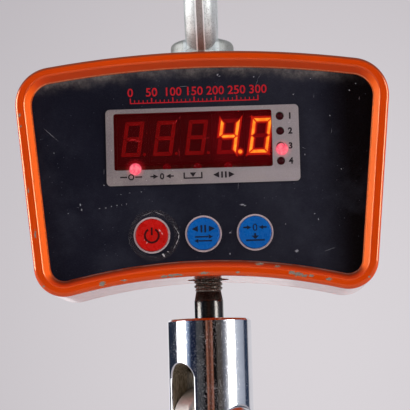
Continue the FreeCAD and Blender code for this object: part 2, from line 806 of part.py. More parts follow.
def make_battery_contacts():
    """Bowed strips between each end wall of the tray and the ends of the cells."""
    left, right, bottom, top = tray_limits()
    strips = []
    for foot in battery_axes():
        for wall_z, cell_z in ((bottom + tray_t, foot.z), (top - tray_t, foot.z + battery_length)):
            half = contact_span / 2
            rise = cell_z - wall_z
            under = rise - math.copysign(contact_t, rise)
            ends = [Vector(foot.x + u, 0, wall_z) for u in (-half, contact_t - half, half - contact_t, half)]
            wire = Part.Wire([arc(ends[0], Vector(foot.x, 0, cell_z), ends[3]), line(ends[3], ends[2]),
                              arc(ends[2], Vector(foot.x, 0, wall_z + under), ends[1]),
                              line(ends[1], ends[0])])
            face = Part.Face(wire)
            face.translate(Vector(0, foot.y - contact_width / 2, 0))
            strips.append(face.extrude(AXIS_Y * contact_width))
    return Part.makeCompound(strips)


# ---- charging socket -----------------------------------------------------------------------
def make_charging_socket():
    """Round panel socket: flange outside the cover, threaded body, hole with a centre pin."""
    seat = Vector(socket_x, rear_y, socket_z)
    flange = rod(socket_flange_d, seat, AXIS_Y, socket_flange_t)
    body = rod(socket_thread_d, seat - AXIS_Y * socket_length, AXIS_Y, socket_length)
    solid = join([flange, body])
    mouth = seat + AXIS_Y * socket_flange_t
    solid = solid.cut(rod(socket_hole_d, mouth, -AXIS_Y, socket_hole_depth))
    root = seat - AXIS_Y * socket_length
    pin = rod(socket_pin_d, root, AXIS_Y, (mouth - root).y - socket_pin_drop)
    return join([solid, pin])


def make_socket_nut():
    start = Vector(socket_x, rear_y - cover_plate, socket_z)
    nut = hexagon(socket_nut_d, socket_nut_t, start, -AXIS_Y)
    return nut.cut(rod(socket_thread_d + 2 * thread_gap, start, -AXIS_Y, socket_nut_t))


# ---- lifting eye and swivel bolt -------------------------------------------------------------
def threaded_end(top, direction, length):
    """A plain shank as thick as its thread, with a lead-in chamfer at its far end."""
    shank = rod(thread_d, top, direction, length)
    far = top + direction * length
    return shank.makeChamfer(thread_lead_in, round_edges(shank, direction, far.dot(direction)))


def make_lifting_eye():
    """Forged ring on a round collar, its flash trimmed to a flat inside and outside."""
    hole_r = eye_hole_d / 2
    outer_r = hole_r + eye_bar_radial
    middle_r = hole_r + eye_bar_radial / 2
    half_land = eye_land / 2
    half_width = eye_bar_width / 2
    swell = eye_bar_radial / 2 / math.sqrt(1 - (half_land / half_width) ** 2)
    middle = Vector(0, 0, middle_r)
    bar = Part.Ellipse(middle + AXIS_X * half_width, middle + AXIS_Z * swell, middle)
    section = Part.Face(Part.Wire([bar.toShape()]))
    ring = section.revolve(ORIGIN, AXIS_X, 360)
    band = rod(2 * outer_r, Vector(-eye_bar_width, 0, 0), AXIS_X, 2 * eye_bar_width)
    band = band.cut(rod(eye_hole_d, Vector(-eye_bar_width, 0, 0), AXIS_X, 2 * eye_bar_width))
    ring = ring.common(band)
    foot = -eye_height
    r = eye_collar_d / 2
    bevel = eye_collar_bevel
    side_top = foot + eye_collar_side
    shoulder = side_top + eye_collar_round
    crown = shoulder + eye_dome_rise
    k = eye_collar_round * (1 - math.sqrt(0.5))
    profile = [line(Vector(0, 0, foot), Vector(r - bevel, 0, foot)),
               line(Vector(r - bevel, 0, foot), Vector(r, 0, foot + bevel)),
               line(Vector(r, 0, foot + bevel), Vector(r, 0, side_top)),
               arc(Vector(r, 0, side_top), Vector(r - k, 0, shoulder - k),
                   Vector(r - eye_collar_round, 0, shoulder)),
               line(Vector(r - eye_collar_round, 0, shoulder), Vector(half_width - bevel, 0, crown)),
               line(Vector(half_width - bevel, 0, crown), Vector(0, 0, crown)),
               line(Vector(0, 0, crown), Vector(0, 0, foot))]
    collar = turned(profile, AXIS_Z)
    below = rod(3 * outer_r, Vector(0, 0, foot - outer_r), AXIS_Z, outer_r)
    keep_open = rod(eye_hole_d, Vector(-r - 1, 0, 0), AXIS_X, 2 * r + 2)
    head = join([ring.cut(below), collar.cut(keep_open)])
    shank = threaded_end(Vector(0, 0, foot), -AXIS_Z, eye_shank_length)
    eye = join([head, shank])
    return eye.cut(rod(roll_pin_d + 2 * pin_gap, Vector(0, -thread_d, roll_pin_heights()[0]), AXIS_Y,
                       2 * thread_d))


def make_eye_seal():
    seal = rod(eye_seal_d, Vector(0, 0, seat_z), AXIS_Z, eye_seal_t)
    return seal.cut(rod(thread_d + 2 * locating_gap, Vector(0, 0, seat_z), AXIS_Z, eye_seal_t))


def make_swivel_bolt():
    """Cap-head bolt that hangs from the load cell; its head carries the clevis."""
    top = cell_bottom + bolt_thread_in_cell
    neck = case_bottom - bolt_thread_shown
    thread = threaded_end(Vector(0, 0, neck), AXIS_Z, top - neck)
    cone = Part.makeCone(bolt_shank_d / 2, bolt_neck_d / 2, bolt_cone, Vector(0, 0, neck - bolt_cone))
    shank = rod(bolt_shank_d, Vector(0, 0, bolt_head_top), AXIS_Z, neck - bolt_cone - bolt_head_top)
    head = rod(bolt_head_d, Vector(0, 0, bolt_head_top), -AXIS_Z, bolt_head_h)
    head = head.makeChamfer(bolt_head_edge, round_edges(head, AXIS_Z, bolt_head_top - bolt_head_h))
    bolt = join([head, shank, cone, thread])
    drive = hexagon(bolt_hex, bolt_hex_depth + 1, Vector(0, 0, bolt_head_top - bolt_head_h - 1), AXIS_Z)
    cross = rod(roll_pin_d + 2 * pin_gap, Vector(0, -thread_d, roll_pin_heights()[1]), AXIS_Y, 2 * thread_d)
    return bolt.cut([drive, cross])


# ---- clevis, drawn with the hook's plane as XZ and the pin along Y ----------------------------
def slot_rim_edges(body, bottom):
    """Edges where the slot breaks out through the clevis's round side, above a level."""
    found = []
    for edge in body.Edges:
        low, high = edge.BoundBox.ZMin, edge.BoundBox.ZMax
        if low > bottom - 0.01 and high - low > clevis_edge and all(
                abs(math.hypot(v.X, v.Y) - clevis_d / 2) < 0.01 for v in edge.Vertexes):
            found.append(edge)
    return found


def make_clevis():
    """Turned cylinder, milled with an arched slot from below and bored for bush and bolt head."""
    bottom = clevis_top - clevis_length
    body = rod(clevis_d, Vector(0, 0, bottom), AXIS_Z, clevis_length)
    body = body.makeChamfer(clevis_edge, [e for e in body.Edges if len(e.Vertexes) == 1])
    slot_r = slot_width / 2
    arch_z = clevis_top - slot_top_drop - slot_r
    slot = box(-clevis_d, clevis_d, -slot_r, slot_r, bottom - 1, arch_z)
    crown = rod(slot_width, Vector(-clevis_d, 0, arch_z), AXIS_X, 2 * clevis_d)
    body = body.cut([slot, crown])
    body = body.makeFillet(slot_edge, slot_rim_edges(body, bottom + clevis_edge))
    cuts = [rod(clevis_bore_d, Vector(0, 0, bottom - 1), AXIS_Z, clevis_length + 1 - clevis_top_wall),
            rod(bush_d, Vector(0, 0, clevis_top - clevis_top_wall - 1), AXIS_Z, clevis_top_wall + 2),
            rod(pin_d + 2 * running_gap, Vector(0, -clevis_d, pin_z), AXIS_Y, 2 * clevis_d)]
    for side in (-1, 1):
        start = Vector(0, side * pin_seat, pin_z)
        cuts.append(rod(pin_head_d + 2 * pin_seat_gap, start, AXIS_Y * side, clevis_d))
    return body.cut(cuts)


def make_swivel_bush():
    foot = clevis_top - clevis_top_wall
    bush = rod(bush_d, Vector(0, 0, foot), AXIS_Z, clevis_top_wall)
    flange = rod(bush_flange_d, Vector(0, 0, foot - bush_flange_t), AXIS_Z, bush_flange_t)
    hole = rod(bolt_shank_d + 2 * running_gap, Vector(0, 0, foot - clevis_d), AXIS_Z, 2 * clevis_d)
    return join([bush, flange]).cut(hole)


def make_clevis_pin():
    """Shoulder pin with a button head and a hexagon recess; a nut holds its thinner end."""
    seat = Vector(0, pin_seat, pin_z)
    length = 2 * pin_seat
    shank = rod(pin_d, seat, -AXIS_Y, length)
    thread = rod(pin_thread_d, seat - AXIS_Y * length, -AXIS_Y, pin_nut_t)
    r = pin_head_d / 2
    flat_r = pin_head_flat_d / 2
    edge_y = pin_seat + pin_head_edge
    top_y = pin_seat + pin_head_h
    bulge = Vector((r + flat_r) / 2 + pin_head_bulge, (edge_y + top_y) / 2 + pin_head_bulge, 0)
    dome = arc(Vector(r, edge_y, 0), bulge, Vector(flat_r, top_y, 0))
    head = turned([line(Vector(0, pin_seat, 0), Vector(r, pin_seat, 0)),
                   line(Vector(r, pin_seat, 0), Vector(r, edge_y, 0)), dome,
                   line(Vector(flat_r, top_y, 0), Vector(0, top_y, 0)),
                   line(Vector(0, top_y, 0), Vector(0, pin_seat, 0))], AXIS_Y)
    head.translate(Vector(0, 0, pin_z))
    drive = hexagon(pin_hex, pin_hex_depth + 1, Vector(0, pin_seat + pin_head_h + 1, pin_z), -AXIS_Y)
    return join([shank, thread, head]).cut(drive)


def make_pin_nut():
    start = Vector(0, -pin_seat, pin_z)
    nut = hexagon(pin_nut_af, pin_nut_t, start, -AXIS_Y)
    keep = rod(pin_nut_corner_d, start, -AXIS_Y, pin_nut_t)
    keep = keep.makeChamfer(pin_nut_edge, round_edges(keep, AXIS_Y, start.y - pin_nut_t))
    return nut.common(keep).cut(rod(pin_thread_d + 2 * thread_gap, start, -AXIS_Y, pin_nut_t))


# ---- hook, drawn with its load line through the pin -------------------------------------------
def section_wire(u, drop, lean_deg, depth, width):
    """Rounded section across the hook's line.  lean_deg is the way to the inner side."""
    inward = Vector(math.cos(math.radians(lean_deg)), 0, math.sin(math.radians(lean_deg)))
    centre = Vector(u, 0, pin_z - drop)
    points = []
    for i in range(hook_points):
        angle = 2 * math.pi * i / hook_points
        across = math.cos(angle)
        half = width / 2 * (1 + section_taper * across)
        points.append(centre + inward * (depth / 2 * across) + AXIS_Y * (half * math.sin(angle)))
    curve = Part.BSplineCurve()
    curve.interpolate(Points=points, PeriodicFlag=True)
    return Part.Wire([curve.toShape()])


def straight_section(u, drop, lean_deg, depth, width):
    """A section of the shank or the tip, from its shares of the bowl's and the saddle's sizes."""
    return section_wire(u * bowl_radius, drop * bowl_drop, lean_deg, depth * saddle_depth,
                        width * saddle_width)


def bowl_section(angle_deg, depth, width):
    """A section on the bowl: the inner side lies on the bowl's circle at this angle."""
    angle = math.radians(angle_deg)
    reach = bowl_radius + depth * saddle_depth / 2
    return section_wire(reach * math.cos(angle), bowl_drop - reach * math.sin(angle),
                        angle_deg + 180, depth * saddle_depth, width * saddle_width)


def make_hook():
    """Forged eye hook: a flat eye for the slot, a back that swells round the bowl, a tapered tip."""
    sections = [straight_section(*s) for s in shank_sections]
    sections += [bowl_section(*s) for s in bowl_sections]
    sections += [straight_section(*s) for s in tip_sections]
    body = Part.makeLoft(sections, True, False)
    eye = rod(hook_eye_d, Vector(0, -hook_eye_t / 2, pin_z), AXIS_Y, hook_eye_t)
    eye = eye.makeFillet(hook_eye_round, [e for e in eye.Edges if len(e.Vertexes) == 1])
    hook = eye.fuse(body)
    cuts = [rod(pin_d + 4 * running_gap, Vector(0, -hook_eye_t, pin_z), AXIS_Y, 2 * hook_eye_t),
            rod(latch_pin_d + 2 * running_gap, latch_pivot() - AXIS_Y * saddle_width, AXIS_Y,
                2 * saddle_width)]
    return hook.cut(cuts)


def latch_pivot():
    return Vector(-latch_back * bowl_radius, 0, pin_z - latch_down * bowl_drop)


def latch_half_gap():
    return latch_seat * saddle_width + latch_side_gap


def latch_reach():
    """From the pivot to the upper corner of the tongue's end, beside the hook's tip."""
    u, drop, lean_deg, depth, width = tip_sections[1]
    inner_side = u * bowl_radius - depth * saddle_depth / 2
    end = Vector(inner_side - latch_tip_gap, 0, pin_z - drop * bowl_drop - latch_tip_drop)
    return end - latch_pivot()


def latch_length():
    return math.sqrt(latch_reach().Length ** 2 - latch_rise ** 2)


def latch_axes():
    """Unit vectors along the closed latch, and square to it on the outer side."""
    reach = latch_reach()
    lean = math.atan2(reach.z, reach.x) - math.atan2(latch_rise, latch_length())
    return Vector(math.cos(lean), 0, math.sin(lean)), Vector(-math.sin(lean), 0, math.cos(lean))


def make_latch():
    """Pressed latch: two ears on the pin, and a tongue that closes the hook's mouth."""
    pivot = latch_pivot()
    along, up = latch_axes()
    inner = latch_half_gap()
    outer = inner + latch_t
    shoulder = pivot + along * (latch_tongue_start + latch_shoulder)
    top = up * latch_rise
    parts = []
    for side in (-1, 1):
        start = AXIS_Y * (inner if side > 0 else -outer)
        parts.append(Part.makeCylinder(latch_ear_r, latch_t, pivot + start, AXIS_Y))
        corners = [pivot + up * latch_ear_r, shoulder + top, shoulder,
                   pivot - up * (latch_ear_r * latch_arm_taper)]
        arm = Part.Face(Part.makePolygon(corners + [corners[0]])).extrude(AXIS_Y * latch_t)
        arm.translate(start)
        parts.append(arm)
    near = pivot + along * latch_tongue_start + top
    far = pivot + along * latch_length() + top
    narrow = latch_end_width / 2
    outline = [near - AXIS_Y * outer, shoulder + top - AXIS_Y * outer, far - AXIS_Y * narrow,
               far + AXIS_Y * narrow, shoulder + top + AXIS_Y * outer, near + AXIS_Y * outer]
    parts.append(Part.Face(Part.makePolygon(outline + [outline[0]])).extrude(up * -latch_t))
    hole = rod(latch_pin_d + 2 * running_gap, pivot - AXIS_Y * 2 * outer, AXIS_Y, 4 * outer)
    return join(parts).cut(hole)


def make_latch_pin():
    half = latch_half_gap() + latch_t + running_gap
    pivot = latch_pivot()
    shank = rod(latch_pin_d, pivot - AXIS_Y * half, AXIS_Y, 2 * half)
    heads = [rod(latch_pin_head_d, pivot + AXIS_Y * (side * half), AXIS_Y * side, latch_pin_head_t)
             for side in (-1, 1)]
    return join([shank] + heads)


def make_latch_spring():
    """One turn of wire beside the shank, with a leg under the tongue and one along the shank."""
    along, up = latch_axes()
    turn_r = latch_pin_d / 2 + spring_wire / 2 + spring_gap
    centre = latch_pivot() + AXIS_Y * (latch_half_gap() - spring_wire / 2 - spring_side_gap)
    coil = Part.makeTorus(turn_r, spring_wire / 2, centre, AXIS_Y)
    start = centre + up * turn_r
    under_tongue = latch_rise - latch_t - spring_wire / 2 - running_gap
    slope = (turn_r - under_tongue) / latch_tongue_start
    leg_line = (along - up * slope) * (latch_tongue_start + latch_shoulder)
    leg = rod(spring_wire, start, leg_line, leg_line.Length)
    tail = rod(spring_wire, centre - up * turn_r, -along, latch_tongue_start / 2)
    return join([coil, leg, tail])


# ---- nodes ---------------------------------------------------------------------------------
nodes = {
    "housing": make_housing(),
    "rear_cover": make_rear_cover(),
    "cover_gasket": make_gasket(),
    "cover_screws": make_cover_screws(),
    "front_film": make_front_film(),
    "display_window": make_window(),
    "display_bezel": make_bezel(),
    "status_lamps": make_status_lamps(),
    "unit_lamps": make_unit_lamps(),
    "button_rings": make_button_rings(),
    "key_switches": make_key_switches(),
    "main_board": make_main_board(),
    "board_screws": make_board_screws(),
    "load_cell": make_load_cell(),
    "eye_roll_pin": make_roll_pin(roll_pin_heights()[0]),
    "bolt_roll_pin": make_roll_pin(roll_pin_heights()[1]),
    "battery_cells": make_batteries(),
    "battery_tray": make_battery_tray(),
    "battery_contacts": make_battery_contacts(),
    "tray_screws": make_tray_screws(),
    "charging_socket": make_charging_socket(),
    "socket_nut": make_socket_nut(),
    "lifting_eye": make_lifting_eye(),
    "eye_seal": make_eye_seal(),
    "swivel_bolt": make_swivel_bolt(),
    "clevis": hang(make_clevis()),
    "swivel_bush": hang(make_swivel_bush()),
    "clevis_pin": hang(make_clevis_pin()),
    "pin_nut": hang(make_pin_nut()),
    "hook": hang(make_hook()),
    "latch": hang(make_latch()),
    "latch_pin": hang(make_latch_pin()),
    "latch_spring": hang(make_latch_spring()),
}
for index in range(digit_count):
    nodes["led_digit_" + str(index + 1)] = make_digit(index)
for name, point in zip(button_names, button_points()):
    nodes[name + "_button"] = make_button(point)
    nodes[name + "_plunger"] = make_plunger(point)

os.makedirs("parts", exist_ok=True)
for name, shape in nodes.items():
    shape.exportStep("parts/" + name + ".step")
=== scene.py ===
import json
import math

import bmesh
import bpy
from mathutils import Matrix, Vector


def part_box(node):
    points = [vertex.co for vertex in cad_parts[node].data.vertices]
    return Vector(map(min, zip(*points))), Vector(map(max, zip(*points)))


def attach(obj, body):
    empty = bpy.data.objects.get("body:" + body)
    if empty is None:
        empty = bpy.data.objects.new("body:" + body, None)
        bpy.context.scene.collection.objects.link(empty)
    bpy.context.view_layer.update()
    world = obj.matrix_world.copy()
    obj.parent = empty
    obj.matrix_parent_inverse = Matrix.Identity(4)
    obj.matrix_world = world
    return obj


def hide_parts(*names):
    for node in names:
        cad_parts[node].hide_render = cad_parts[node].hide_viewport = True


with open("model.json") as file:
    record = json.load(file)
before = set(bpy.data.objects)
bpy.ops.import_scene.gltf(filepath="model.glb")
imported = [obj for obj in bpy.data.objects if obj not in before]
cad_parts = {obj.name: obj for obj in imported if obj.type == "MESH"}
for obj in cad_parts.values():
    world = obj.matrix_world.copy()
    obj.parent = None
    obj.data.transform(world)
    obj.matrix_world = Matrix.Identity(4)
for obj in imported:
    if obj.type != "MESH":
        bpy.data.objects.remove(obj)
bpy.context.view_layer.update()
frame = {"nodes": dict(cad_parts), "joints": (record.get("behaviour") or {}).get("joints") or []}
scene = bpy.context.scene
scene.view_settings.view_transform = "Standard"

# Metres, +Z up, front towards -Y.  Lengths are written in millimetres times mm, colours as linear
# red, green and blue.
mm = 0.001


def middle(node):
    low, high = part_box(node)
    return (low + high) / 2


# ---- places read from the frame -----------------------------------------------------------------
film_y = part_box("front_film")[0].y
bezel_low, bezel_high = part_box("display_bezel")
window_low, window_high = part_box("display_window")
eye_low, eye_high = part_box("lifting_eye")
case_low, case_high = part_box("housing")
bolt_low, bolt_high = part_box("swivel_bolt")
swing = next(j for j in frame["joints"] if j["name"] == "hook_swing")
swing_axis = Vector(swing["axis"]).normalized()

DIGITS = 5
LAMPS = 4


def lamp_row(node, along):
    """Centres of a node's lamps, which stand in a row along X or down Z."""
    low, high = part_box(node)
    wide, tall = high.x - low.x, high.z - low.z
    centre = Vector(((low.x + high.x) / 2, low.y, (low.z + high.z) / 2))
    shares = [index / (LAMPS - 1) - 0.5 for index in range(LAMPS)]
    if along == "x":
        return [centre + Vector((share * (wide - tall), 0, 0)) for share in shares]
    return [centre - Vector((0, 0, share * (tall - wide))) for share in shares]


status_places = lamp_row("status_lamps", "x")
unit_places = lamp_row("unit_lamps", "z")
lit_status = status_places[0] + Vector((0, 0, -0.75 * mm))
lit_unit = unit_places[2] + Vector((0.55 * mm, 0, -1.3 * mm))
lamp_glow_r = 2.55 * mm
window_border = 1.6 * mm    # width of the window that the bezel's edge covers or shades
digit_middles = [middle(f"led_digit_{i + 1}") for i in range(DIGITS)]
thread_end = case_low.z + 1.65 * mm


# ---- node trees ---------------------------------------------------------------------------------
class Nodes:
    """A node tree being made, with the few steps every tree here needs."""

    def __init__(self, tree):
        self.tree = tree

    def add(self, kind, **settings):
        node = self.tree.nodes.new(kind)
        for name, value in settings.items():
            setattr(node, name, value)
        return node

    def put(self, value, socket):
        """Links a socket, or sets a plain value."""
        if isinstance(value, bpy.types.NodeSocket):
            self.tree.links.new(value, socket)
        else:
            socket.default_value = value

    def make(self, kind, output, inputs, **settings):
        """Adds a node, fills its inputs by name or number and gives back one output."""
        node = self.add(kind, **settings)
        for label, value in inputs.items():
            self.put(value, node.inputs[label])
        return node.outputs[output]

    def maths(self, operation, a, b=0.0):
        return self.make("ShaderNodeMath", "Value", {0: a, 1: b}, operation=operation)

    def chain(self, operation, values):
        total = values[0]
        for value in values[1:]:
            total = self.maths(operation, total, value)
        return total

    def times(self, *values):
        return self.chain("MULTIPLY", values)

    def plus(self, *values):
        return self.chain("ADD", values)

    def minus(self, *values):
        return self.chain("SUBTRACT", values)

    def over(self, *values):
        return self.chain("DIVIDE", values)

    def largest(self, *values):
        return self.chain("MAXIMUM", values)

    def least(self, *values):
        return self.chain("MINIMUM", values)

    def absolute(self, value):
        return self.maths("ABSOLUTE", value)

    def vector(self, operation, a, b=(0, 0, 0), output="Vector"):
        return self.make("ShaderNodeVectorMath", output, {0: a, 1: b}, operation=operation)

    def scaled(self, vector, scale):
        return self.make("ShaderNodeVectorMath", "Vector", {0: vector, "Scale": scale},
                         operation="SCALE")

    def split(self, vector):
        """The X, Y and Z of a vector."""
        node = self.add("ShaderNodeSeparateXYZ")
        self.put(vector, node.inputs["Vector"])
        return [node.outputs[way] for way in "XYZ"]

    def span(self, value, low, high, out_low=0.0, out_high=1.0):
        """A value taken from one range to another, smoothly and without leaving it."""
        inputs = dict(enumerate((value, low, high, out_low, out_high)))
        return self.make("ShaderNodeMapRange", "Result", inputs, interpolation_type="SMOOTHSTEP")

    def blend(self, share, a, b):
        """One colour at a share of 0 and another at 1."""
        colours = [c if isinstance(c, bpy.types.NodeSocket) else (*c, 1) for c in (a, b)]
        return self.make("ShaderNodeMix", 2, {0: share, 6: colours[0], 7: colours[1]},
                         data_type="RGBA")


class Finish(Nodes):
    """A material being made: its shader, the piece's own coordinates, and nodes added by name."""

    def __init__(self, name, **surface):
        self.material = bpy.data.materials.new(name)
        self.material.use_nodes = True
        super().__init__(self.material.node_tree)
        self.shader = self.tree.nodes["Principled BSDF"]
        coordinates = self.add("ShaderNodeTexCoord").outputs
        self.place, self.normal = coordinates["Object"], coordinates["Normal"]
        for socket, value in surface.items():
            self.shader.inputs[socket.replace("_", " ")].default_value = value

    def drive(self, socket, value):
        self.put(value, self.shader.inputs[socket])

    def base(self, size, dark, light, detail=3.0, rough=0.55):
        """Starts the colour: two tones that drift into each other."""
        self.colour = self.mottle(size, dark, light, detail, rough)

    def lay(self, new, *shares):
        """Lays a new colour over the colour so far, as far as the product of the shares goes."""
        self.colour = self.blend(self.times(*shares), self.colour, new)

    def done(self):
        self.drive("Base Color", self.colour)
        return self.material

    def axis(self, name):
        return self.split(self.place)["XYZ".index(name)]

    def stretch(self, scale, turn=(0, 0, 0)):
        """The piece's coordinates, scaled and turned, for grain that runs one way."""
        return self.make("ShaderNodeMapping", "Vector",
                         {"Vector": self.place, "Scale": scale, "Rotation": turn})

    def noise(self, size, detail=3.0, rough=0.55, where=None):
        return self.make("ShaderNodeTexNoise", "Fac",
                         {"Vector": where or self.place, "Scale": 1 / size, "Detail": detail,
                          "Roughness": rough})

    def cells(self, size, where=None):
        """Distance to the nearest of many scattered points, in cell widths."""
        return self.make("ShaderNodeTexVoronoi", "Distance",
                         {"Vector": where or self.place, "Scale": 1 / size})

    def patches(self, size, low, high, out_low=0.0, out_high=1.0, detail=3.0, rough=0.55,
                where=None):
        """Noise whose middle range is spread out from one value to another."""
        return self.span(self.noise(size, detail, rough, where), low, high, out_low, out_high)

    def mottle(self, size, dark, light, detail=3.0, rough=0.55):
        """Two colours that drift into each other."""
        return self.blend(self.noise(size, detail, rough), dark, light)

    def gloss(self, size, low, high, detail=3.0, rough=0.55):
        """A roughness that wanders between two values."""
        self.drive("Roughness", self.patches(size, 0.3, 0.7, low, high, detail, rough))

    def apart(self, centre, size):
        """Distance from a place, in sizes; an axis whose size is None doesn't count."""
        away = self.vector("SUBTRACT", self.place, centre)
        scaled = self.vector("MULTIPLY", away, [1 / s if s else 0 for s in size])
        return self.vector("LENGTH", scaled, output="Value")

    def off_centre(self, way, low, high):
        """Distance from a box's middle along one axis, and half of the box's size there."""
        index = "XYZ".index(way)
        off = self.absolute(self.minus(self.axis(way), (low[index] + high[index]) / 2))
        return off, (high[index] - low[index]) / 2

    def nearest_spot(self, spots):
        """Distance from the nearest oval in the panel's plane, in its own sizes.

        Each spot has its place, half its width and half its height."""
        return self.least(*[self.apart(place, (wide, None, high)) for place, wide, high in spots])

    def nearest_scratch(self, scratches):
        """Distance from the nearest straight scratch, in its own half sizes."""
        endless = 1e3
        lengths = []
        for x, z, length, width, turn in scratches:
            own = self.make("ShaderNodeMapping", "Vector",
                            {"Vector": self.place, "Location": (x * mm, 0, z * mm),
                             "Rotation": (0, -math.radians(turn), 0),
                             "Scale": (length / 2 * mm, endless, width / 2 * mm)},
                            vector_type="TEXTURE")
            lengths.append(self.vector("LENGTH", own, output="Value"))
        return self.least(*lengths)

    def bump(self, height, depth):
        self.drive("Normal", self.make("ShaderNodeBump", "Normal",
                                       {"Height": height, "Distance": depth, "Strength": 1.0}))


class Rule(Nodes):
    """A Geometry Nodes tree being made: named sizes, and what it makes or adds to a piece."""

    def __init__(self, name, **sizes):
        super().__init__(bpy.data.node_groups.new(name, "GeometryNodeTree"))
        sockets = self.tree.interface
        sockets.new_socket("Geometry", in_out="INPUT", socket_type="NodeSocketGeometry")
        sockets.new_socket("Geometry", in_out="OUTPUT", socket_type="NodeSocketGeometry")
        kinds = {int: "NodeSocketInt", float: "NodeSocketFloat", Vector: "NodeSocketVector"}
        self.settings = {}
        for label, value in sizes.items():
            socket = sockets.new_socket(label, in_out="INPUT", socket_type=kinds[type(value)])
            self.settings[socket.identifier] = value
        self.size = self.add("NodeGroupInput").outputs

    def position(self):
        return self.add("GeometryNodeInputPosition").outputs["Position"]

    def point(self, x, y, z):
        return self.make("ShaderNodeCombineXYZ", "Vector", {"X": x, "Y": y, "Z": z})

    def move(self, geometry, offset, turn=(0, 0, 0)):
        return self.make("GeometryNodeTransform", "Geometry",
                         {"Geometry": geometry, "Translation": offset, "Rotation": turn})

    def shift(self, geometry, **how):
        """Moves each point by its own Offset, or to its own Position."""
        return self.make("GeometryNodeSetPosition", "Geometry", {"Geometry": geometry, **how})

    def circle(self, steps, radius):
        return self.make("GeometryNodeCurvePrimitiveCircle", "Curve",
                         {"Resolution": steps, "Radius": radius}, mode="RADIUS")

    def ripple(self, output, scale, seed):
        """Noise of the place along a curve; its scale is in waves per metre."""
        return self.make("ShaderNodeTexNoise", output,
                         {"Vector": self.position(), "W": seed, "Scale": scale, "Detail": 2.0},
                         noise_dimensions="4D")

    def sweep(self, path, profile):
        return self.make("GeometryNodeCurveToMesh", "Mesh",
                         {"Curve": path, "Profile Curve": profile})

    def line(self, count, offset, start=(0, 0, 0)):
        """Points in a row."""
        return self.make("GeometryNodeMeshLine", "Mesh",
                         {"Count": count, "Start Location": start, "Offset": offset})

    def repeat(self, points, piece, scale=(1, 1, 1)):
        return self.make("GeometryNodeInstanceOnPoints", "Instances",
                         {"Points": points, "Instance": piece, "Scale": scale})

    def join(self, *parts):
        node = self.add("GeometryNodeJoinGeometry")
        for part in parts:
            self.put(part, node.inputs["Geometry"])
        return node.outputs["Geometry"]

    def finish(self, geometry, material):
        """Ends the tree: real geometry, in its material."""
        real = self.make("GeometryNodeRealizeInstances", "Geometry", {"Geometry": geometry})
        done = self.make("GeometryNodeSetMaterial", "Geometry",
                         {"Geometry": real, "Material": material})
        self.put(done, self.add("NodeGroupOutput").inputs["Geometry"])
        return self


# ---- finishes: plain plastics, inks and metals --------------------------------------------------
def plastic(name, colour, rough=0.4, grain=0.25 * mm, mottle=0.25):
    """Moulded plastic: a fine grain, and a colour that drifts a little."""
    finish = Finish(name)
    dark = [c * (1 - mottle) for c in colour]
    finish.base(9 * mm, dark, colour, detail=4)
    finish.gloss(3 * mm, rough * 0.85, rough * 1.15)
    finish.bump(finish.noise(grain, 2), 0.02 * mm)
    return finish.done()


def plated(name, colour, rough=0.3, grain_scale=(1, 1, 1)):
    """Plated or bare metal: grain along one way, small stains and changes of gloss."""
    finish = Finish(name, Metallic=1.0)
    grain = finish.noise(0.5 * mm, 4, 0.65, finish.stretch(grain_scale))
    stained = finish.patches(5 * mm, 0.5, 0.75, 0, 0.35, detail=5, rough=0.6)
    stain = [c * share for c, share in zip(colour, (0.5, 0.45, 0.4))]
    finish.colour = finish.blend(stained, colour, stain)
    finish.drive("Roughness", finish.span(grain, 0.3, 0.7, rough * 0.75, rough * 1.3))
    finish.bump(grain, 0.012 * mm)
    return finish.done()


def drifting(name, dark, light, colour_size, gloss_size, low, high, detail=3.0, **surface):
    """A plain finish whose colour and gloss drift."""
    finish = Finish(name, **surface)
    finish.base(colour_size, dark, light, detail)
    finish.gloss(gloss_size, low, high)
    return finish.done()


def ink_finish(name, colour, worn):
    """Printed ink, a little worn."""
    finish = Finish(name, Specular_IOR_Level=0.12)
    rub = finish.patches(0.5 * mm, 0.5, 0.75, detail=4, rough=0.7)
    finish.colour = finish.blend(rub, colour, worn)
    finish.gloss(1 * mm, 0.45, 0.65)
    return finish.done()


# ---- finishes: case and panel -------------------------------------------------------------------
# Where the paint has come off the rim: along, up, half the width and half the height, in mm.
paint_chips = ((-41.0, -118.2, 1.0, 0.75), (-32.6, -117.1, 1.1, 0.3), (-16.6, -116.0, 1.3, 0.4),
               (-13.6, -115.7, 1.0, 0.5), (-11.8, -115.4, 1.4, 0.3), (-10.2, -115.6, 1.0, 0.25),
               (-0.8, -115.1, 1.5, 0.4), (12.4, -115.2, 0.7, 0.3), (21.2, -112.0, 1.3, 0.45),
               (28.1, -113.2, 0.95, 0.4), (33.9, -115.9, 1.0, 0.75), (36.2, -116.6, 1.5, 0.6),
               (38.6, -117.3, 1.2, 0.4), (41.2, -117.4, 0.9, 0.45), (48.1, -118.9, 1.0, 0.45),
               (63.9, -118.4, 0.5, 0.3), (-72.7, -50.2, 0.35, 0.7), (-72.2, -54.5, 0.3, 0.4),
               (-69.6, -80.6, 0.25, 0.8), (-67.1, -97.8, 0.3, 1.5), (-64.2, -118.6, 0.4, 0.4))


def spots(rows, share=1.0):
    """Rows in mm as places with half widths and half heights; whole ones take a share of 0.5."""
    return [(Vector((x, 0, z)) * mm, w * share * mm, h * share * mm) for x, z, w, h in rows]


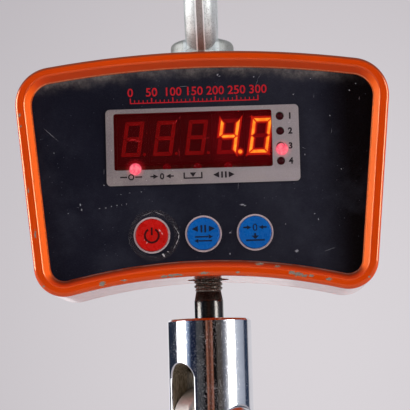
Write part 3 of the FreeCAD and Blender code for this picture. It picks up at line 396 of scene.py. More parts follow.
def paint_finish():
    """Thick orange paint, glossy but for the rim's dull inner slope, chipped along its foot, with
    painted light and shade on the rim.
    """
    finish = Finish("orange_paint", Coat_Roughness=0.08, Coat_IOR=1.5, Specular_IOR_Level=1.0,
                    Specular_Tint=(1.0, 0.58, 0.22, 1))
    orange, deep_orange = (0.80, 0.066, 0.001), (0.66, 0.047, 0.001)
    lit_flank_orange, shaded_roof_orange = (1.0, 0.105, 0.0), (0.70, 0.050, 0.006)
    shaded_sill_orange, sill_shade = (0.62, 0.020, 0.0), (0.095, 0.003, 0.0)
    grease, top_dust, brow_shade = (0.20, 0.045, 0.015), (0.150, 0.075, 0.055), (0.17, 0.020, 0.006)
    pale_foot, foot_shade, seam_dust = (0.72, 0.30, 0.15), (0.14, 0.018, 0.005), (0.27, 0.17, 0.15)
    primer, dark_metal, bare_metal = (0.42, 0.14, 0.07), (0.13, 0.12, 0.10), (0.36, 0.34, 0.30)
    black = (0.008, 0.006, 0.007)

    # The rim's inner slope with its flanks, roof and sill, its outer edge, and the case's top.
    depth = finish.axis("Y")
    across, _, up = finish.split(finish.normal)
    case_centre = (0, case_low.y, (case_low.z + case_high.z) / 2)
    outward = finish.vector("DOT_PRODUCT", finish.vector("SUBTRACT", finish.place, case_centre),
                            finish.normal, output="Value")
    front = finish.span(depth, case_low.y + 3.3 * mm, case_low.y + 3.6 * mm, 1, 0)
    behind_lip = finish.span(depth, case_low.y + 0.28 * mm, case_low.y + 0.36 * mm)
    slope = finish.times(finish.span(outward, -2 * mm, -1 * mm, 1, 0), front, behind_lip)
    flank = finish.times(slope, finish.span(finish.absolute(across), 0.35, 0.75))
    roof = finish.times(slope, finish.span(up, -0.75, -0.35, 1, 0))
    sill = finish.times(finish.span(up, 0.3, 0.6), slope)
    brow = finish.times(finish.span(up, 0.08, 0.45), finish.span(outward, 1 * mm, 3 * mm), front)
    crest = finish.times(finish.span(up, 0.5, 0.9), finish.minus(1.0, slope))

    finish.base(14 * mm, deep_orange, orange, detail=4)
    # Painted light: the inner slope's flanks are painted a lighter orange, as if lit from the
    # sides.
    finish.lay(lit_flank_orange, flank, 0.9)
    # Painted shade: the slope's roof, which faces down, is painted a darker orange.
    finish.lay(shaded_roof_orange, roof,
               finish.patches(6 * mm, 0.25, 0.65, 0.6, 1.0, detail=5, rough=0.65))
    finish.lay(grease, finish.patches(2.0 * mm, 0.58, 0.74, detail=6, rough=0.7),
               finish.patches(16 * mm, 0.50, 0.64, detail=2), 0.4)
    finish.lay(top_dust, crest, finish.patches(5 * mm, 0.2, 0.7, 0.6, 1.0, detail=5, rough=0.7),
               0.75)
    # Painted shade: a dark line on the rim's outer rounding where it faces up.
    finish.lay(brow_shade, brow, 0.85)
    # Painted shade: the slope's sill, which faces up, is painted darker, and darker again towards
    # the film.
    finish.lay(shaded_sill_orange, sill, 0.6)
    finish.lay(sill_shade, sill, finish.span(depth, film_y - 3.0 * mm, film_y - 0.5 * mm), 0.88)
    # Where the slope meets the film: pale dust along the top, painted shade along the sides and
    # bottom.
    foot = finish.times(finish.span(depth, film_y - 0.75 * mm, film_y - 0.25 * mm),
                        finish.patches(1.4 * mm, 0.3, 0.6, 0.3, 1, detail=4, rough=0.7), slope)
    foot_dust_and_shade = finish.blend(finish.span(up, -0.55, -0.3), pale_foot, foot_shade)
    finish.lay(foot_dust_and_shade, foot, 0.8)
    seam = finish.times(finish.span(depth, film_y - 0.55 * mm, film_y - 0.4 * mm),
                        finish.patches(9 * mm, 0.35, 0.6, detail=5, rough=0.7))
    finish.lay(seam_dust, seam, sill, 0.8)

    ragged = finish.patches(0.7 * mm, 0.2, 0.8, -0.9, 0.9, detail=5, rough=0.75)
    edge = finish.plus(finish.nearest_spot(spots(paint_chips)), ragged)
    chip = finish.times(finish.span(edge, 0.95, 1.05, 1, 0), front)
    finish.lay(primer, finish.span(edge, 1.15, 1.3, 1, 0), front)
    finish.lay(finish.mottle(0.6 * mm, dark_metal, bare_metal, detail=4), chip)

    # Painted shade: what shows of the recess through the bezel's openings is painted near black.
    shaded_recess = finish.times(finish.span(depth, film_y - 0.1 * mm, film_y),
                          finish.span(depth, film_y + 6 * mm, film_y + 7 * mm, 1, 0))
    for way in "XZ":
        off, half = finish.off_centre(way, bezel_low, bezel_high)
        shaded_recess = finish.times(shaded_recess, finish.span(off, half, half + mm, 1, 0))
    finish.lay(black, shaded_recess)

    gloss = finish.patches(4 * mm, 0.3, 0.7, 0.13, 0.21, detail=4)
    finish.drive("Roughness", finish.plus(gloss, finish.times(slope, 0.34)))
    underside = finish.span(up, -0.95, -0.75, 0.18, 0.0)
    dull = finish.times(finish.largest(slope, brow, shaded_recess), 0.5)
    finish.drive("Coat Weight", finish.minus(finish.plus(0.5, underside), dull))
    peel = finish.times(finish.noise(2.6 * mm, 2, 0.4), 0.4, front, finish.span(up, -0.8, -0.5))
    finish.bump(finish.minus(peel, finish.times(chip, 1.6)), 0.05 * mm)
    return finish.done()


# Specks on the film: along, up, width and height in mm.
film_specks = ((-49.4, -86.4, 0.45, 0.9), (-48.9, -88.3, 0.45, 0.8), (-41.8, -88.1, 0.5, 0.25),
               (-39.3, -87.9, 0.5, 0.25), (-37.0, -87.4, 0.35, 0.35), (-34.8, -87.0, 0.5, 0.3),
               (-33.0, -86.9, 0.3, 0.3), (-31.0, -86.6, 0.25, 0.5), (-33.1, -82.7, 0.5, 0.2),
               (-29.6, -82.2, 0.5, 0.2), (-25.0, -81.9, 0.5, 0.2), (-39.8, -78.8, 0.5, 0.4),
               (-54.3, -89.7, 0.4, 0.25), (14.9, -88.2, 1.5, 0.5), (16.0, -88.6, 0.8, 0.35),
               (43.5, -92.6, 0.4, 0.4), (44.9, -94.8, 0.3, 0.7), (36.0, -107.2, 1.1, 0.9),
               (9.6, -107.5, 0.5, 0.6), (9.9, -99.2, 0.8, 0.35), (6.6, -35.7, 0.6, 0.7),
               (7.3, -36.3, 0.8, 0.3), (58.9, -43.6, 0.4, 0.5), (31.9, -96.4, 0.3, 0.3),
               (36.5, -44.6, 0.45, 0.35), (50.8, -53.6, 0.4, 0.4), (43.6, -38.4, 0.3, 0.35),
               (21.0, -37.0, 0.4, 0.4), (54.6, -75.1, 0.4, 0.4), (-59.6, -65.3, 0.35, 0.35),
               (26.0, -32.4, 0.5, 0.4), (61.5, -41.0, 0.3, 0.3), (40.4, -68.9, 0.3, 0.5))
# Scratches, and after them painted glints: along, up, length and width in mm, and the turn up from
# level in degrees.
film_scratches = ((-60.6, -57.9, 8.6, 0.13, -43), (22.1, -39.6, 3.4, 0.11, 68),
                  (23.2, -36.9, 3.2, 0.10, 58), (-7.1, -40.0, 3.6, 0.14, 0),
                  (44.7, -45.3, 2.0, 0.12, 84), (62.7, -47.0, 1.5, 0.12, 80),
                  (51.3, -59.7, 2.0, 0.12, 86), (-39.7, -73.4, 2.6, 0.12, 87),
                  (39.9, -66.2, 2.0, 0.16, -28), (49.1, -106.9, 5.0, 0.12, 18),
                  (10.0, -99.0, 1.9, 0.16, 45), (13.6, -80.4, 3.6, 0.10, 86))
window_scratches = ((-27.9, -60.9, 3.2, 0.42, 4), (-26.0, -61.5, 2.2, 0.3, 0),
                    (-10.4, -53.9, 2.0, 0.25, 64), (-9.6, -66.4, 4.4, 0.2, 92),
                    (-11.4, -54.7, 1.2, 0.22, 5), (-9.0, -52.6, 1.2, 0.2, 30),
                    (2.0, -61.0, 1.6, 0.22, 14), (2.6, -50.2, 1.5, 0.22, -25),
                    (-22.3, -58.4, 0.6, 0.3, 0), (25.6, -67.4, 3.4, 0.14, 70),
                    (14.5, -50.6, 0.6, 0.4, 0))
button_glints = ((-17.9, -97.8, 2.2, 0.7, -52), (-17.0, -98.9, 1.2, 0.5, -60),
                 (-23.1, -102.0, 1.7, 0.45, 78), (-24.0, -101.0, 1.2, 0.3, 60))
blister_glints = ((-11.8, -96.75, 2.7, 0.16, -56), (-10.75, -98.55, 1.9, 0.22, -65),
                  (-10.55, -100.2, 2.1, 0.34, 80), (-11.25, -102.25, 2.8, 0.26, 64),
                  (-12.3, -104.25, 2.2, 0.14, 60), (-16.8, -107.2, 2.4, 0.8, -60),
                  (-15.3, -105.8, 1.8, 0.5, -35), (-22.8, -90.8, 5.2, 0.11, 21),
                  (-18.1, -90.8, 4.8, 0.13, -25))


def film_finish():
    """Printed front film: satin navy, dusty under the crown, with specks, scratches and grime, and
    painted shade towards its right edge.
    """
    finish = Finish("navy_film", Specular_IOR_Level=0.1)
    navy, worn_navy = (0.004, 0.005, 0.010), (0.013, 0.014, 0.024)
    pale_navy = (0.0175, 0.0185, 0.0275)
    side_shade, haze, dust = (0.0012, 0.0008, 0.001), (0.052, 0.056, 0.075), (0.25, 0.225, 0.205)
    mote, speck, scratch = (0.30, 0.30, 0.36), (0.50, 0.50, 0.53), (0.42, 0.41, 0.45)

    along = finish.axis("X")
    side = finish.span(along, 42 * mm, 60 * mm)
    finish.base(26 * mm, navy, worn_navy, detail=4, rough=0.6)
    finish.lay(pale_navy, finish.span(along, -50 * mm, 35 * mm),
               finish.patches(30 * mm, 0.3, 0.6, 0.4, 1.0))
    # Painted shade: the film is painted near black towards its right edge.
    finish.lay(side_shade, side, 0.95)
    finish.lay(haze, finish.patches(17 * mm, 0.42, 0.72, detail=5, rough=0.65), 0.2)

    crown_radius = 415 * mm
    crown = finish.apart((0, 0, case_high.z - crown_radius), (crown_radius, None, crown_radius))
    ragged = finish.patches(7 * mm, 0.3, 0.7, -0.003, 0.003, detail=5, rough=0.7)
    under_crown = finish.span(finish.plus(crown, ragged), 0.969, 0.987)
    dusty = finish.times(under_crown, under_crown,
                         finish.patches(1.6 * mm, 0.25, 0.7, 0.3, 1, detail=6, rough=0.75),
                         finish.patches(11 * mm, 0.36, 0.60, 0.3, 1, detail=4, rough=0.6),
                         finish.span(side, 0.2, 1.0, 1.0, 0.15))
    finish.lay(dust, dusty, 0.75)
    finish.lay(mote, finish.span(finish.cells(1.9 * mm), 0.045, 0.09, 1, 0),
               finish.patches(7 * mm, 0.45, 0.6), 0.4)
    ragged = finish.patches(0.35 * mm, 0.2, 0.8, -0.8, 0.8, detail=4, rough=0.7)
    away = finish.plus(finish.nearest_spot(spots(film_specks, 0.5)), ragged)
    finish.lay(speck, finish.span(away, 0.6, 1.4, 0.6, 0))
    line = finish.span(finish.nearest_scratch(film_scratches), 0.6, 1.1, 0.6, 0)
    broken = finish.patches(0.9 * mm, 0.3, 0.55, detail=4, rough=0.7)
    finish.lay(scratch, line, broken)
    brushed = finish.stretch((1, 1, 6), (0, 0.3, 0))
    finish.drive("Roughness", finish.patches(0.6 * mm, 0.35, 0.7, 0.20, 0.32, detail=5, rough=0.7,
                                             where=brushed))
    finish.bump(finish.noise(6 * mm, 3), 0.04 * mm)
    return finish.done()


def glow_share(finish, centre):
    """One inside a lit lamp's round glow, in the panel's plane, and nothing outside it."""
    return finish.span(finish.nearest_spot([(centre, lamp_glow_r, lamp_glow_r)]), 0.88, 1.06, 1, 0)


def lamp_pink(finish):
    """The mottled pink in the middle of a lit lamp."""
    share = finish.patches(1.5 * mm, 0.3, 0.7, detail=4, rough=0.6)
    return finish.blend(share, (1.0, 0.07, 0.14), (1.0, 0.26, 0.31))


def shine(finish, glow, halo):
    """Lets a lamp glow through: pink at its middle, redder at its edge, with a faint halo."""
    finish.drive("Emission Color", finish.blend(glow, (1.0, 0.01, 0.03), lamp_pink(finish)))
    around = finish.times(finish.minus(1.0, glow), halo)
    finish.drive("Emission Strength", finish.plus(finish.times(glow, 0.96), around))
    finish.lay((0.03, 0.0, 0.002), glow)


def bezel_finish():
    """Silver-grey printed frame, rubbed and speckled, with painted shade to its left and a lit
    lamp's pink wash.
    """
    finish = Finish("grey_bezel", Specular_IOR_Level=0.3)
    warm_grey, upper_grey, sand = (0.33, 0.27, 0.25), (0.15, 0.125, 0.13), (0.46, 0.42, 0.41)
    scuff, inner_wall = (0.62, 0.56, 0.54), (0.02, 0.012, 0.012)
    drift = finish.noise(20 * mm, 3)
    # Painted shade and light: the frame's grey is painted darker at its left and lighter at its
    # right.
    left = finish.blend(drift, (0.140, 0.108, 0.112), (0.195, 0.158, 0.164))
    right = finish.blend(drift, (0.270, 0.232, 0.242), (0.365, 0.315, 0.330))
    finish.colour = finish.blend(finish.span(finish.axis("X"), bezel_low.x, bezel_high.x), left,
                                 right)
    finish.lay(warm_grey, finish.patches(9 * mm, 0.4, 0.7, detail=4), 0.5)
    finish.lay(upper_grey, finish.span(finish.axis("Z"), window_low.z, window_low.z + 3 * mm), 0.3)
    finish.lay(sand, finish.patches(0.28 * mm, 0.3, 0.75, 0.0, 0.35, rough=0.6))
    finish.lay(scuff, finish.span(finish.cells(3.1 * mm), 0.04, 0.08, 0.6, 0))
    turned_in = finish.span(finish.split(finish.normal)[1], -0.7, -0.3)
    finish.lay(inner_wall, turned_in)
    finish.gloss(2 * mm, 0.42, 0.6)
    glow = finish.largest(glow_share(finish, lit_unit), glow_share(finish, lit_status))
    near = finish.nearest_spot([(lit, lamp_glow_r, lamp_glow_r) for lit in (lit_unit, lit_status)])
    shine(finish, glow, finish.span(near, 1.0, 1.7, 0.16, 0))
    finish.bump(finish.noise(0.3 * mm, 2), 0.01 * mm)
    return finish.done()


def window_finish():
    """Red tinted window: glossy and see-through, scratched, with the lit digits' haze in it."""
    finish = Finish("red_window", IOR=1.49, Specular_IOR_Level=0.15)
    line = finish.span(finish.nearest_scratch(window_scratches), 0.5, 1.1, 0.8, 0)
    finish.base(12 * mm, (0.020, 0.0, 0.0003), (0.042, 0.0004, 0.0006))
    finish.lay((0.45, 0.04, 0.04), line)
    finish.gloss(3 * mm, 0.08, 0.2, detail=4)
    glow = glow_share(finish, lit_status)
    lit_digits = [(digit_middles[i], 6.0 * mm, 9.0 * mm) for i in (3, 4)]
    haze = finish.span(finish.nearest_spot(lit_digits), 0.5, 1.9, 0.11, 0.045)
    ring = finish.nearest_spot([(lit_status, lamp_glow_r, lamp_glow_r)])
    halo = finish.plus(haze, finish.span(ring, 1.0, 1.9, 0.22, 0), finish.times(line, 0.22))
    shine(finish, glow, halo)
    clear = 0.34
    solid = finish.largest(finish.times(glow, 0.92), finish.times(line, 0.8))
    for way in "XZ":
        off, half = finish.off_centre(way, window_low, window_high)
        border = half - window_border
        rim = finish.span(off, border - 0.2 * mm, border + 0.2 * mm, 0, 0.96)
        solid = finish.largest(solid, rim)
    finish.drive("Alpha", finish.largest(solid, clear))
    finish.bump(finish.noise(4 * mm, 2), 0.01 * mm)
    return finish.done()


def segment_core(finish):
    """The piece's own attribute: 1 along the middle of a segment and 0 at its edge."""
    return finish.add("ShaderNodeAttribute", attribute_name="core").outputs["Fac"]


def dull_segment_finish():
    """An unlit segment: cloudy plastic that looks dim red behind the window, with a faint painted
    glow.
    """
    finish = Finish("unlit_segment", Specular_IOR_Level=0.1)
    finish.base(4 * mm, (0.10, 0.002, 0.002), (0.25, 0.006, 0.005))
    finish.gloss(0.8 * mm, 0.4, 0.6)
    # Painted light: the unlit segments glow faintly red.
    finish.drive("Emission Color",
                 finish.mottle(1.6 * mm, (0.30, 0.004, 0.004), (0.72, 0.012, 0.010)))
    edge = finish.minus(1.0, finish.times(segment_core(finish), 0.45))
    glow = finish.patches(5 * mm, 0.3, 0.7, 0.48, 0.72)
    finish.drive("Emission Strength", finish.times(glow, edge))
    return finish.done()


def glowing(finish, share, dull, lit, weak, strong):
    """Drives a finish from dull to lit: its body colour, its light's colour and its strength."""
    finish.colour = finish.blend(share, dull[0], lit[0])
    finish.drive("Emission Color", finish.blend(share, dull[1], lit[1]))
    finish.drive("Emission Strength", finish.span(share, 0.0, 1.0, weak, strong))
    return finish.done()


def lit_segment_finish():
    """A lit segment: yellow at its core and red at its edge."""
    finish = Finish("lit_segment")
    heat = finish.times(segment_core(finish), finish.patches(2.6 * mm, 0.35, 0.65, 0.6, 1.0))
    return glowing(finish, heat, ((0.5, 0.01, 0.0), (1.0, 0.040, 0.0)),
                   ((0.8, 0.3, 0.05), (1.0, 0.33, 0.02)), 1.6, 2.6)


def halo_finish():
    """Red light spilt round the lit segments, which dies away to the smoked face."""
    finish = Finish("segment_halo", Specular_IOR_Level=0.08, Roughness=0.5)
    spill = finish.times(segment_core(finish),
                         finish.patches(1.5 * mm, 0.3, 0.7, 0.75, 1.0, detail=2))
    return glowing(finish, spill, ((0.02, 0.004, 0.004), (1.0, 0.0, 0.0)),
                   ((0.3, 0.01, 0.005), (1.0, 0.03, 0.01)), 0.0, 0.85)


def lamp_finish(name, lit, centre, faint):
    """Red lamps in a row: dark domes, and one that glows about a centre."""
    finish = Finish(name, Roughness=0.55, Specular_IOR_Level=0.12)
    glow = glow_share(finish, centre)
    finish.base(1.2 * mm, (0.004, 0.0002, 0.001), (0.014, 0.0005, 0.003))
    finish.drive("Emission Color", finish.blend(glow, (0.9, 0.004, 0.012), lamp_pink(finish)))
    finish.drive("Emission Strength", finish.largest(finish.times(glow, lit), faint))
    return finish.done()


def button_finish(name, colour, deep, glints=()):
    """Soft glossy button film: fine scratches, a little wear and a few painted glints."""
    finish = Finish(name, Specular_IOR_Level=0.25)
    finish.colour = finish.blend(finish.patches(7 * mm, 0.3, 0.7), deep, colour)
    fine = finish.patches(0.5 * mm, 0.64, 0.74, detail=5, rough=0.7,
                          where=finish.stretch((5, 1, 1), (0, 0.7, 0)))
    pale = [min(1.0, c * 0.6 + 0.25) for c in colour]
    finish.lay(pale, fine, 0.08)
    if glints:
        # Painted highlights: small pale glints laid on the button's colour.
        glint_line = finish.span(finish.nearest_scratch(glints), 0.5, 1.2, 0.7, 0)
        broken = finish.patches(0.7 * mm, 0.35, 0.6, detail=4, rough=0.7)
        finish.lay((0.85, 0.62, 0.60), glint_line, broken)
    finish.gloss(2 * mm, 0.22, 0.36)
    finish.bump(finish.noise(3 * mm, 3), 0.05 * mm)
    return finish.done()


def blister_finish():
    """Clear film lifted round the button: nearly invisible but for its gloss, its scuffs and
    painted glints.
    """
    finish = Finish("lifted_film", IOR=1.5)
    clear, pale_scuff_and_glint = (0.055, 0.05, 0.06), (0.75, 0.73, 0.74)
    scuffs = finish.patches(0.8 * mm, 0.52, 0.72, detail=5, rough=0.75)
    # Painted highlights: pale glints along the ridge, laid with the scuffs.
    glints = finish.times(finish.span(finish.nearest_scratch(blister_glints), 0.4, 1.3, 1, 0),
                          finish.patches(0.9 * mm, 0.2, 0.42, 0.3, 1.0, detail=4, rough=0.7))
    pale = finish.largest(finish.times(scuffs, 0.35), glints)
    finish.colour = finish.blend(pale, clear, pale_scuff_and_glint)
    finish.gloss(0.6 * mm, 0.06, 0.22, detail=4)
    finish.drive("Alpha", finish.plus(finish.times(pale, 0.45), 0.26))
    finish.bump(finish.noise(1.6 * mm, 4), 0.12 * mm)
    return finish.done()


# ---- finishes: metal ----------------------------------------------------------------------------
def zinc_finish():
    """Forged eye, zinc plated: satin, stippled, with painted shade low down and at the ring's
    edges, darker on its ground-off land.
    """
    finish = Finish("forged_zinc", Metallic=0.45)
    edge_shade_grey, grime, collar_grey = (0.30, 0.33, 0.35), (0.22, 0.20, 0.18), (0.20, 0.21, 0.195)
    low_shade, ground, pit = (0.09, 0.155, 0.175), (0.42, 0.36, 0.33), (0.07, 0.07, 0.06)
    along = finish.axis("X")
    aside = finish.absolute(along)
    ring_mm = finish.apart((0, 0, 0), (None, mm, mm))       # from the middle of the eye's hole
    on_ring = finish.span(ring_mm, 26.7, 27.1, 1, 0)

    finish.colour = finish.blend(finish.patches(3.2 * mm, 0.35, 0.7, detail=5, rough=0.65),
                                 (0.72, 0.75, 0.73), (0.90, 0.94, 0.92))
    # Painted shade: the ring is painted darker at its outer edges and across its middle, leaving
    # its flanks bright.
    edges = finish.largest(finish.span(along, 3.9 * mm, 5.2 * mm, 0, 0.85),
                           finish.span(along, -6.1 * mm, -5.3 * mm, 1, 0),
                           finish.span(aside, 1.9 * mm, 2.6 * mm, 0.55, 0))
    finish.lay(edge_shade_grey, edges, on_ring, 0.75)
    finish.lay(grime, finish.patches(1.2 * mm, 0.56, 0.72, detail=6, rough=0.75), 0.45)
    finish.lay(collar_grey, finish.span(aside, 6.8 * mm, 7.6 * mm), 0.8)
    height = finish.axis("Z")
    low = finish.times(finish.span(height, eye_low.z + 22 * mm, eye_low.z + 32 * mm, 1, 0), on_ring)
    # Painted shade: the lower part of the ring is painted a dark blue-grey.
    finish.lay(low_shade, low, finish.span(aside, 4.5 * mm, 9.0 * mm, 1, 0), 0.55)
    finish.lay(ground, finish.span(aside, 1.2 * mm, 1.45 * mm, 1, 0),
               finish.span(ring_mm, 26.4, 26.8))
    stipple = finish.noise(0.8 * mm, 5, 0.75)
    finish.lay(pit, finish.span(stipple, 0.50, 0.32), finish.plus(finish.times(low, 0.3), 0.5))
    finish.drive("Roughness", finish.span(stipple, 0.3, 0.7, 0.34, 0.58))
    finish.bump(finish.plus(finish.noise(3.0 * mm, 3), finish.times(stipple, 0.8)), 0.15 * mm)
    return finish.done()


def black_oxide_finish():
    """Blackened bolt: dark, oily and glossy, brown and rubbed bright in the thread, with painted
    shade on its cone.
    """
    finish = Finish("black_oxide", Metallic=1.0)
    cone_shade, thread_brown = (0.010, 0.017, 0.017), (0.085, 0.072, 0.058)
    rubbed_steel = (0.48, 0.44, 0.38)
    height = finish.axis("Z")
    thread = finish.span(height, thread_end - 0.3 * mm, thread_end + 0.4 * mm)
    cone = finish.times(finish.span(height, thread_end - 4.2 * mm, thread_end - 2.6 * mm),
                        finish.minus(1.0, thread))
    finish.base(2.4 * mm, (0.052, 0.050, 0.048), (0.10, 0.095, 0.088), detail=5, rough=0.7)
    # Painted shade: the cone below the shank is painted near black.
    finish.lay(cone_shade, cone, 0.9)
    finish.lay(thread_brown, thread)
    rubbed = finish.times(finish.patches(0.45 * mm, 0.42, 0.68, detail=5, rough=0.75),
                          finish.largest(thread, finish.times(cone, 0.25)))
    finish.lay(rubbed_steel, rubbed, 0.75)
    fine = finish.patches(0.8 * mm, 0.3, 0.7, 0.08, 0.26, detail=5, rough=0.7)
    finish.drive("Roughness",
                 finish.plus(fine, finish.times(thread, 0.14), finish.times(cone, 0.35)))
    finish.bump(finish.noise(0.5 * mm, 5, 0.7), 0.03 * mm)
    return finish.done()


def chrome_finish():
    """Bright chrome with fine pits; the milled slot and the bore behind it are dull and brown."""
    finish = Finish("chrome", Metallic=1.0)
    slot_half, slot_radius, bore_radius = 6.5 * mm, 16.4, 10.75
    side = finish.absolute(finish.vector("DOT_PRODUCT", finish.place, swing_axis, output="Value"))
    axis_mm = finish.apart((0, 0, 0), (mm, mm, None))       # from the clevis's own axis
    slot = finish.times(finish.span(side, slot_half - 0.05 * mm, slot_half + 0.05 * mm, 1, 0),
                        finish.span(axis_mm, slot_radius - 0.1, slot_radius + 0.1, 1, 0))
    bore = finish.span(axis_mm, bore_radius - 0.15, bore_radius + 0.15, 1, 0)
    inside = finish.largest(slot, bore)
    milling = finish.noise(0.4 * mm, 5, 0.7, finish.stretch((1, 1, 0.12), (0.25, 0.2, 0)))
    dull = finish.blend(finish.span(milling, 0.35, 0.65), (0.22, 0.18, 0.13), (0.80, 0.71, 0.55))
    finish.base(8 * mm, (0.68, 0.69, 0.72), (0.82, 0.83, 0.86), detail=4)
    finish.lay(dull, inside)
    worn = finish.patches(9 * mm, 0.40, 0.62)
    pits = finish.times(finish.span(finish.cells(0.7 * mm), 0.07, 0.17, 1, 0), worn)
    specks = finish.times(finish.span(finish.cells(0.5 * mm), 0.13, 0.22, 1, 0), worn)
    haze = finish.patches(0.45 * mm, 0.58, 0.72, detail=4, rough=0.7)
    finish.drive("Roughness", finish.largest(finish.plus(finish.times(haze, 0.12), 0.05),
                                             finish.times(specks, 0.6),
                                             finish.times(inside, 0.55)))
    finish.bump(finish.plus(finish.times(pits, 0.5), finish.times(haze, 0.3),
                            finish.times(milling, inside)), 0.02 * mm)
    return finish.done()


def forged_hook_finish():
    """Forged hook, plated over its scale: satin and slightly warm."""
    finish = Finish("forged_hook", Metallic=1.0)
    finish.base(6 * mm, (0.46, 0.42, 0.39), (0.66, 0.61, 0.58), detail=5, rough=0.6)
    grime = finish.patches(2.0 * mm, 0.58, 0.75, detail=6, rough=0.75)
    finish.lay((0.15, 0.11, 0.08), grime, 0.5)
    finish.gloss(0.8 * mm, 0.28, 0.5, detail=4)
    finish.bump(finish.noise(1.5 * mm, 4), 0.10 * mm)
    return finish.done()


def board_finish():
    """Green circuit board with paler tracks."""
    finish = Finish("circuit_board", Roughness=0.35)
    line = finish.span(finish.cells(4 * mm, finish.stretch((1, 1, 0.4))), 0.42, 0.46)
    finish.base(10 * mm, (0.01, 0.09, 0.03), (0.015, 0.13, 0.045))
    finish.lay((0.05, 0.26, 0.10), line, 0.5)
    finish.bump(line, 0.03 * mm)
    return finish.done()


# ---- finishes given to the solids ---------------------------------------------------------------
black_plastic = plastic("black_plastic", (0.018, 0.018, 0.02), 0.45)
blue_button = button_finish("blue_button", (0.001, 0.112, 0.42), (0.001, 0.095, 0.37))
red_button = button_finish("red_button", (0.56, 0.007, 0.005), (0.44, 0.005, 0.003), button_glints)

node_finishes = (
    (paint_finish(), "housing", "rear_cover"),
    (plastic("black_rubber", (0.02, 0.02, 0.021), 0.75, 0.5 * mm, 0.4), "cover_gasket", "eye_seal"),
    (plated("zinc_screw", (0.62, 0.62, 0.60)), "cover_screws", "board_screws", "tray_screws",
     "pin_nut"),
    (film_finish(), "front_film"),
    (window_finish(), "display_window"),
    (bezel_finish(), "display_bezel"),
    (drifting("smoked_digit_face", (0.012, 0.003, 0.003), (0.035, 0.007, 0.006), 2 * mm, 1 * mm,
              0.4, 0.6, Specular_IOR_Level=0.08), *[f"led_digit_{i + 1}" for i in range(DIGITS)]),
    (lamp_finish("status_lamp_red", 1.6, lit_status, 0.16), "status_lamps"),
    (lamp_finish("unit_lamp_red", 0.96, lit_unit, 0.02), "unit_lamps"),
    (plastic("pale_ring", (0.52, 0.41, 0.42), 0.4, 0.4 * mm, 0.15), "button_rings"),
    (red_button, "power_button"),
    (blue_button, "hold_button", "zero_button"),
    (black_plastic, "power_plunger", "hold_plunger", "zero_plunger", "key_switches",
     "battery_tray", "charging_socket"),
    (board_finish(), "main_board"),
    (plated("machined_alloy", (0.60, 0.61, 0.63), 0.32, (6, 1, 1)), "load_cell"),
    (plated("spring_steel", (0.30, 0.29, 0.28), 0.3, (1, 1, 4)), "eye_roll_pin", "bolt_roll_pin",
     "latch_spring"),
    (plastic("battery_sleeve", (0.02, 0.09, 0.30), 0.3), "battery_cells"),
    (plated("nickel_strip", (0.66, 0.64, 0.60), 0.25, (1, 1, 5)), "battery_contacts", "socket_nut",
     "latch_pin"),
    (zinc_finish(), "lifting_eye"),
    (chrome_finish(), "clevis"),
    (plated("bronze_bush", (0.50, 0.30, 0.12), 0.3, (1, 1, 5)), "swivel_bush"),
    (plated("polished_pin", (0.70, 0.71, 0.73), 0.16), "clevis_pin"),
    (forged_hook_finish(), "hook"),
    (plated("zinc_latch", (0.64, 0.64, 0.60), 0.3, (1, 4, 1)), "latch"),
)
for material, *nodes in node_finishes:
    for node in nodes:
        slots = frame["nodes"][node].data.materials
        slots.clear()
        slots.append(material)


# ---- pieces: helpers ----------------------------------------------------------------------------
def evaluated_mesh(holder):
    """A plain mesh of what an object's modifiers or its text make."""
    graph = bpy.context.evaluated_depsgraph_get()
    return bpy.data.meshes.new_from_object(holder.evaluated_get(graph))


def add_piece(name, shape, material, body, rule=None, smooth=False):
    """Turns a bmesh into a piece that rides on a body; a rule's tree is worked out on it first."""
    mesh = bpy.data.meshes.new(name)
    shape.to_mesh(mesh)
    shape.free()
    mesh.materials.append(material)
    piece = bpy.data.objects.new(name, mesh)
    scene.collection.objects.link(piece)
    if rule:
        modifier = piece.modifiers.new("rule", "NODES")
        modifier.node_group = rule.tree
        for identifier, value in rule.settings.items():
            modifier[identifier] = value
        mesh = evaluated_mesh(piece)
        piece.modifiers.clear()
        piece.data = mesh
        mesh.name = name
    soft_edge = math.radians(35)
    whole = bmesh.new()
    whole.from_mesh(mesh)
    bmesh.ops.recalc_face_normals(whole, faces=whole.faces)
    for face in whole.faces:
        face.smooth = smooth
    for edge in whole.edges:
        edge.smooth = smooth and edge.calc_face_angle(math.pi) < soft_edge
    whole.to_mesh(mesh)
    whole.free()
    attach(piece, body)
    return piece


def bridge(shape, one, two):
    """Joins two rings of points with a band of faces."""
    for k in range(len(one)):
        after = (k + 1) % len(one)
        shape.faces.new((one[k], one[after], two[after], two[k]))


def disc(x, z, radius, steps):
    turns = [2 * math.pi * i / steps for i in range(steps)]
    return [(x + radius * math.cos(turn), z + radius * math.sin(turn)) for turn in turns]


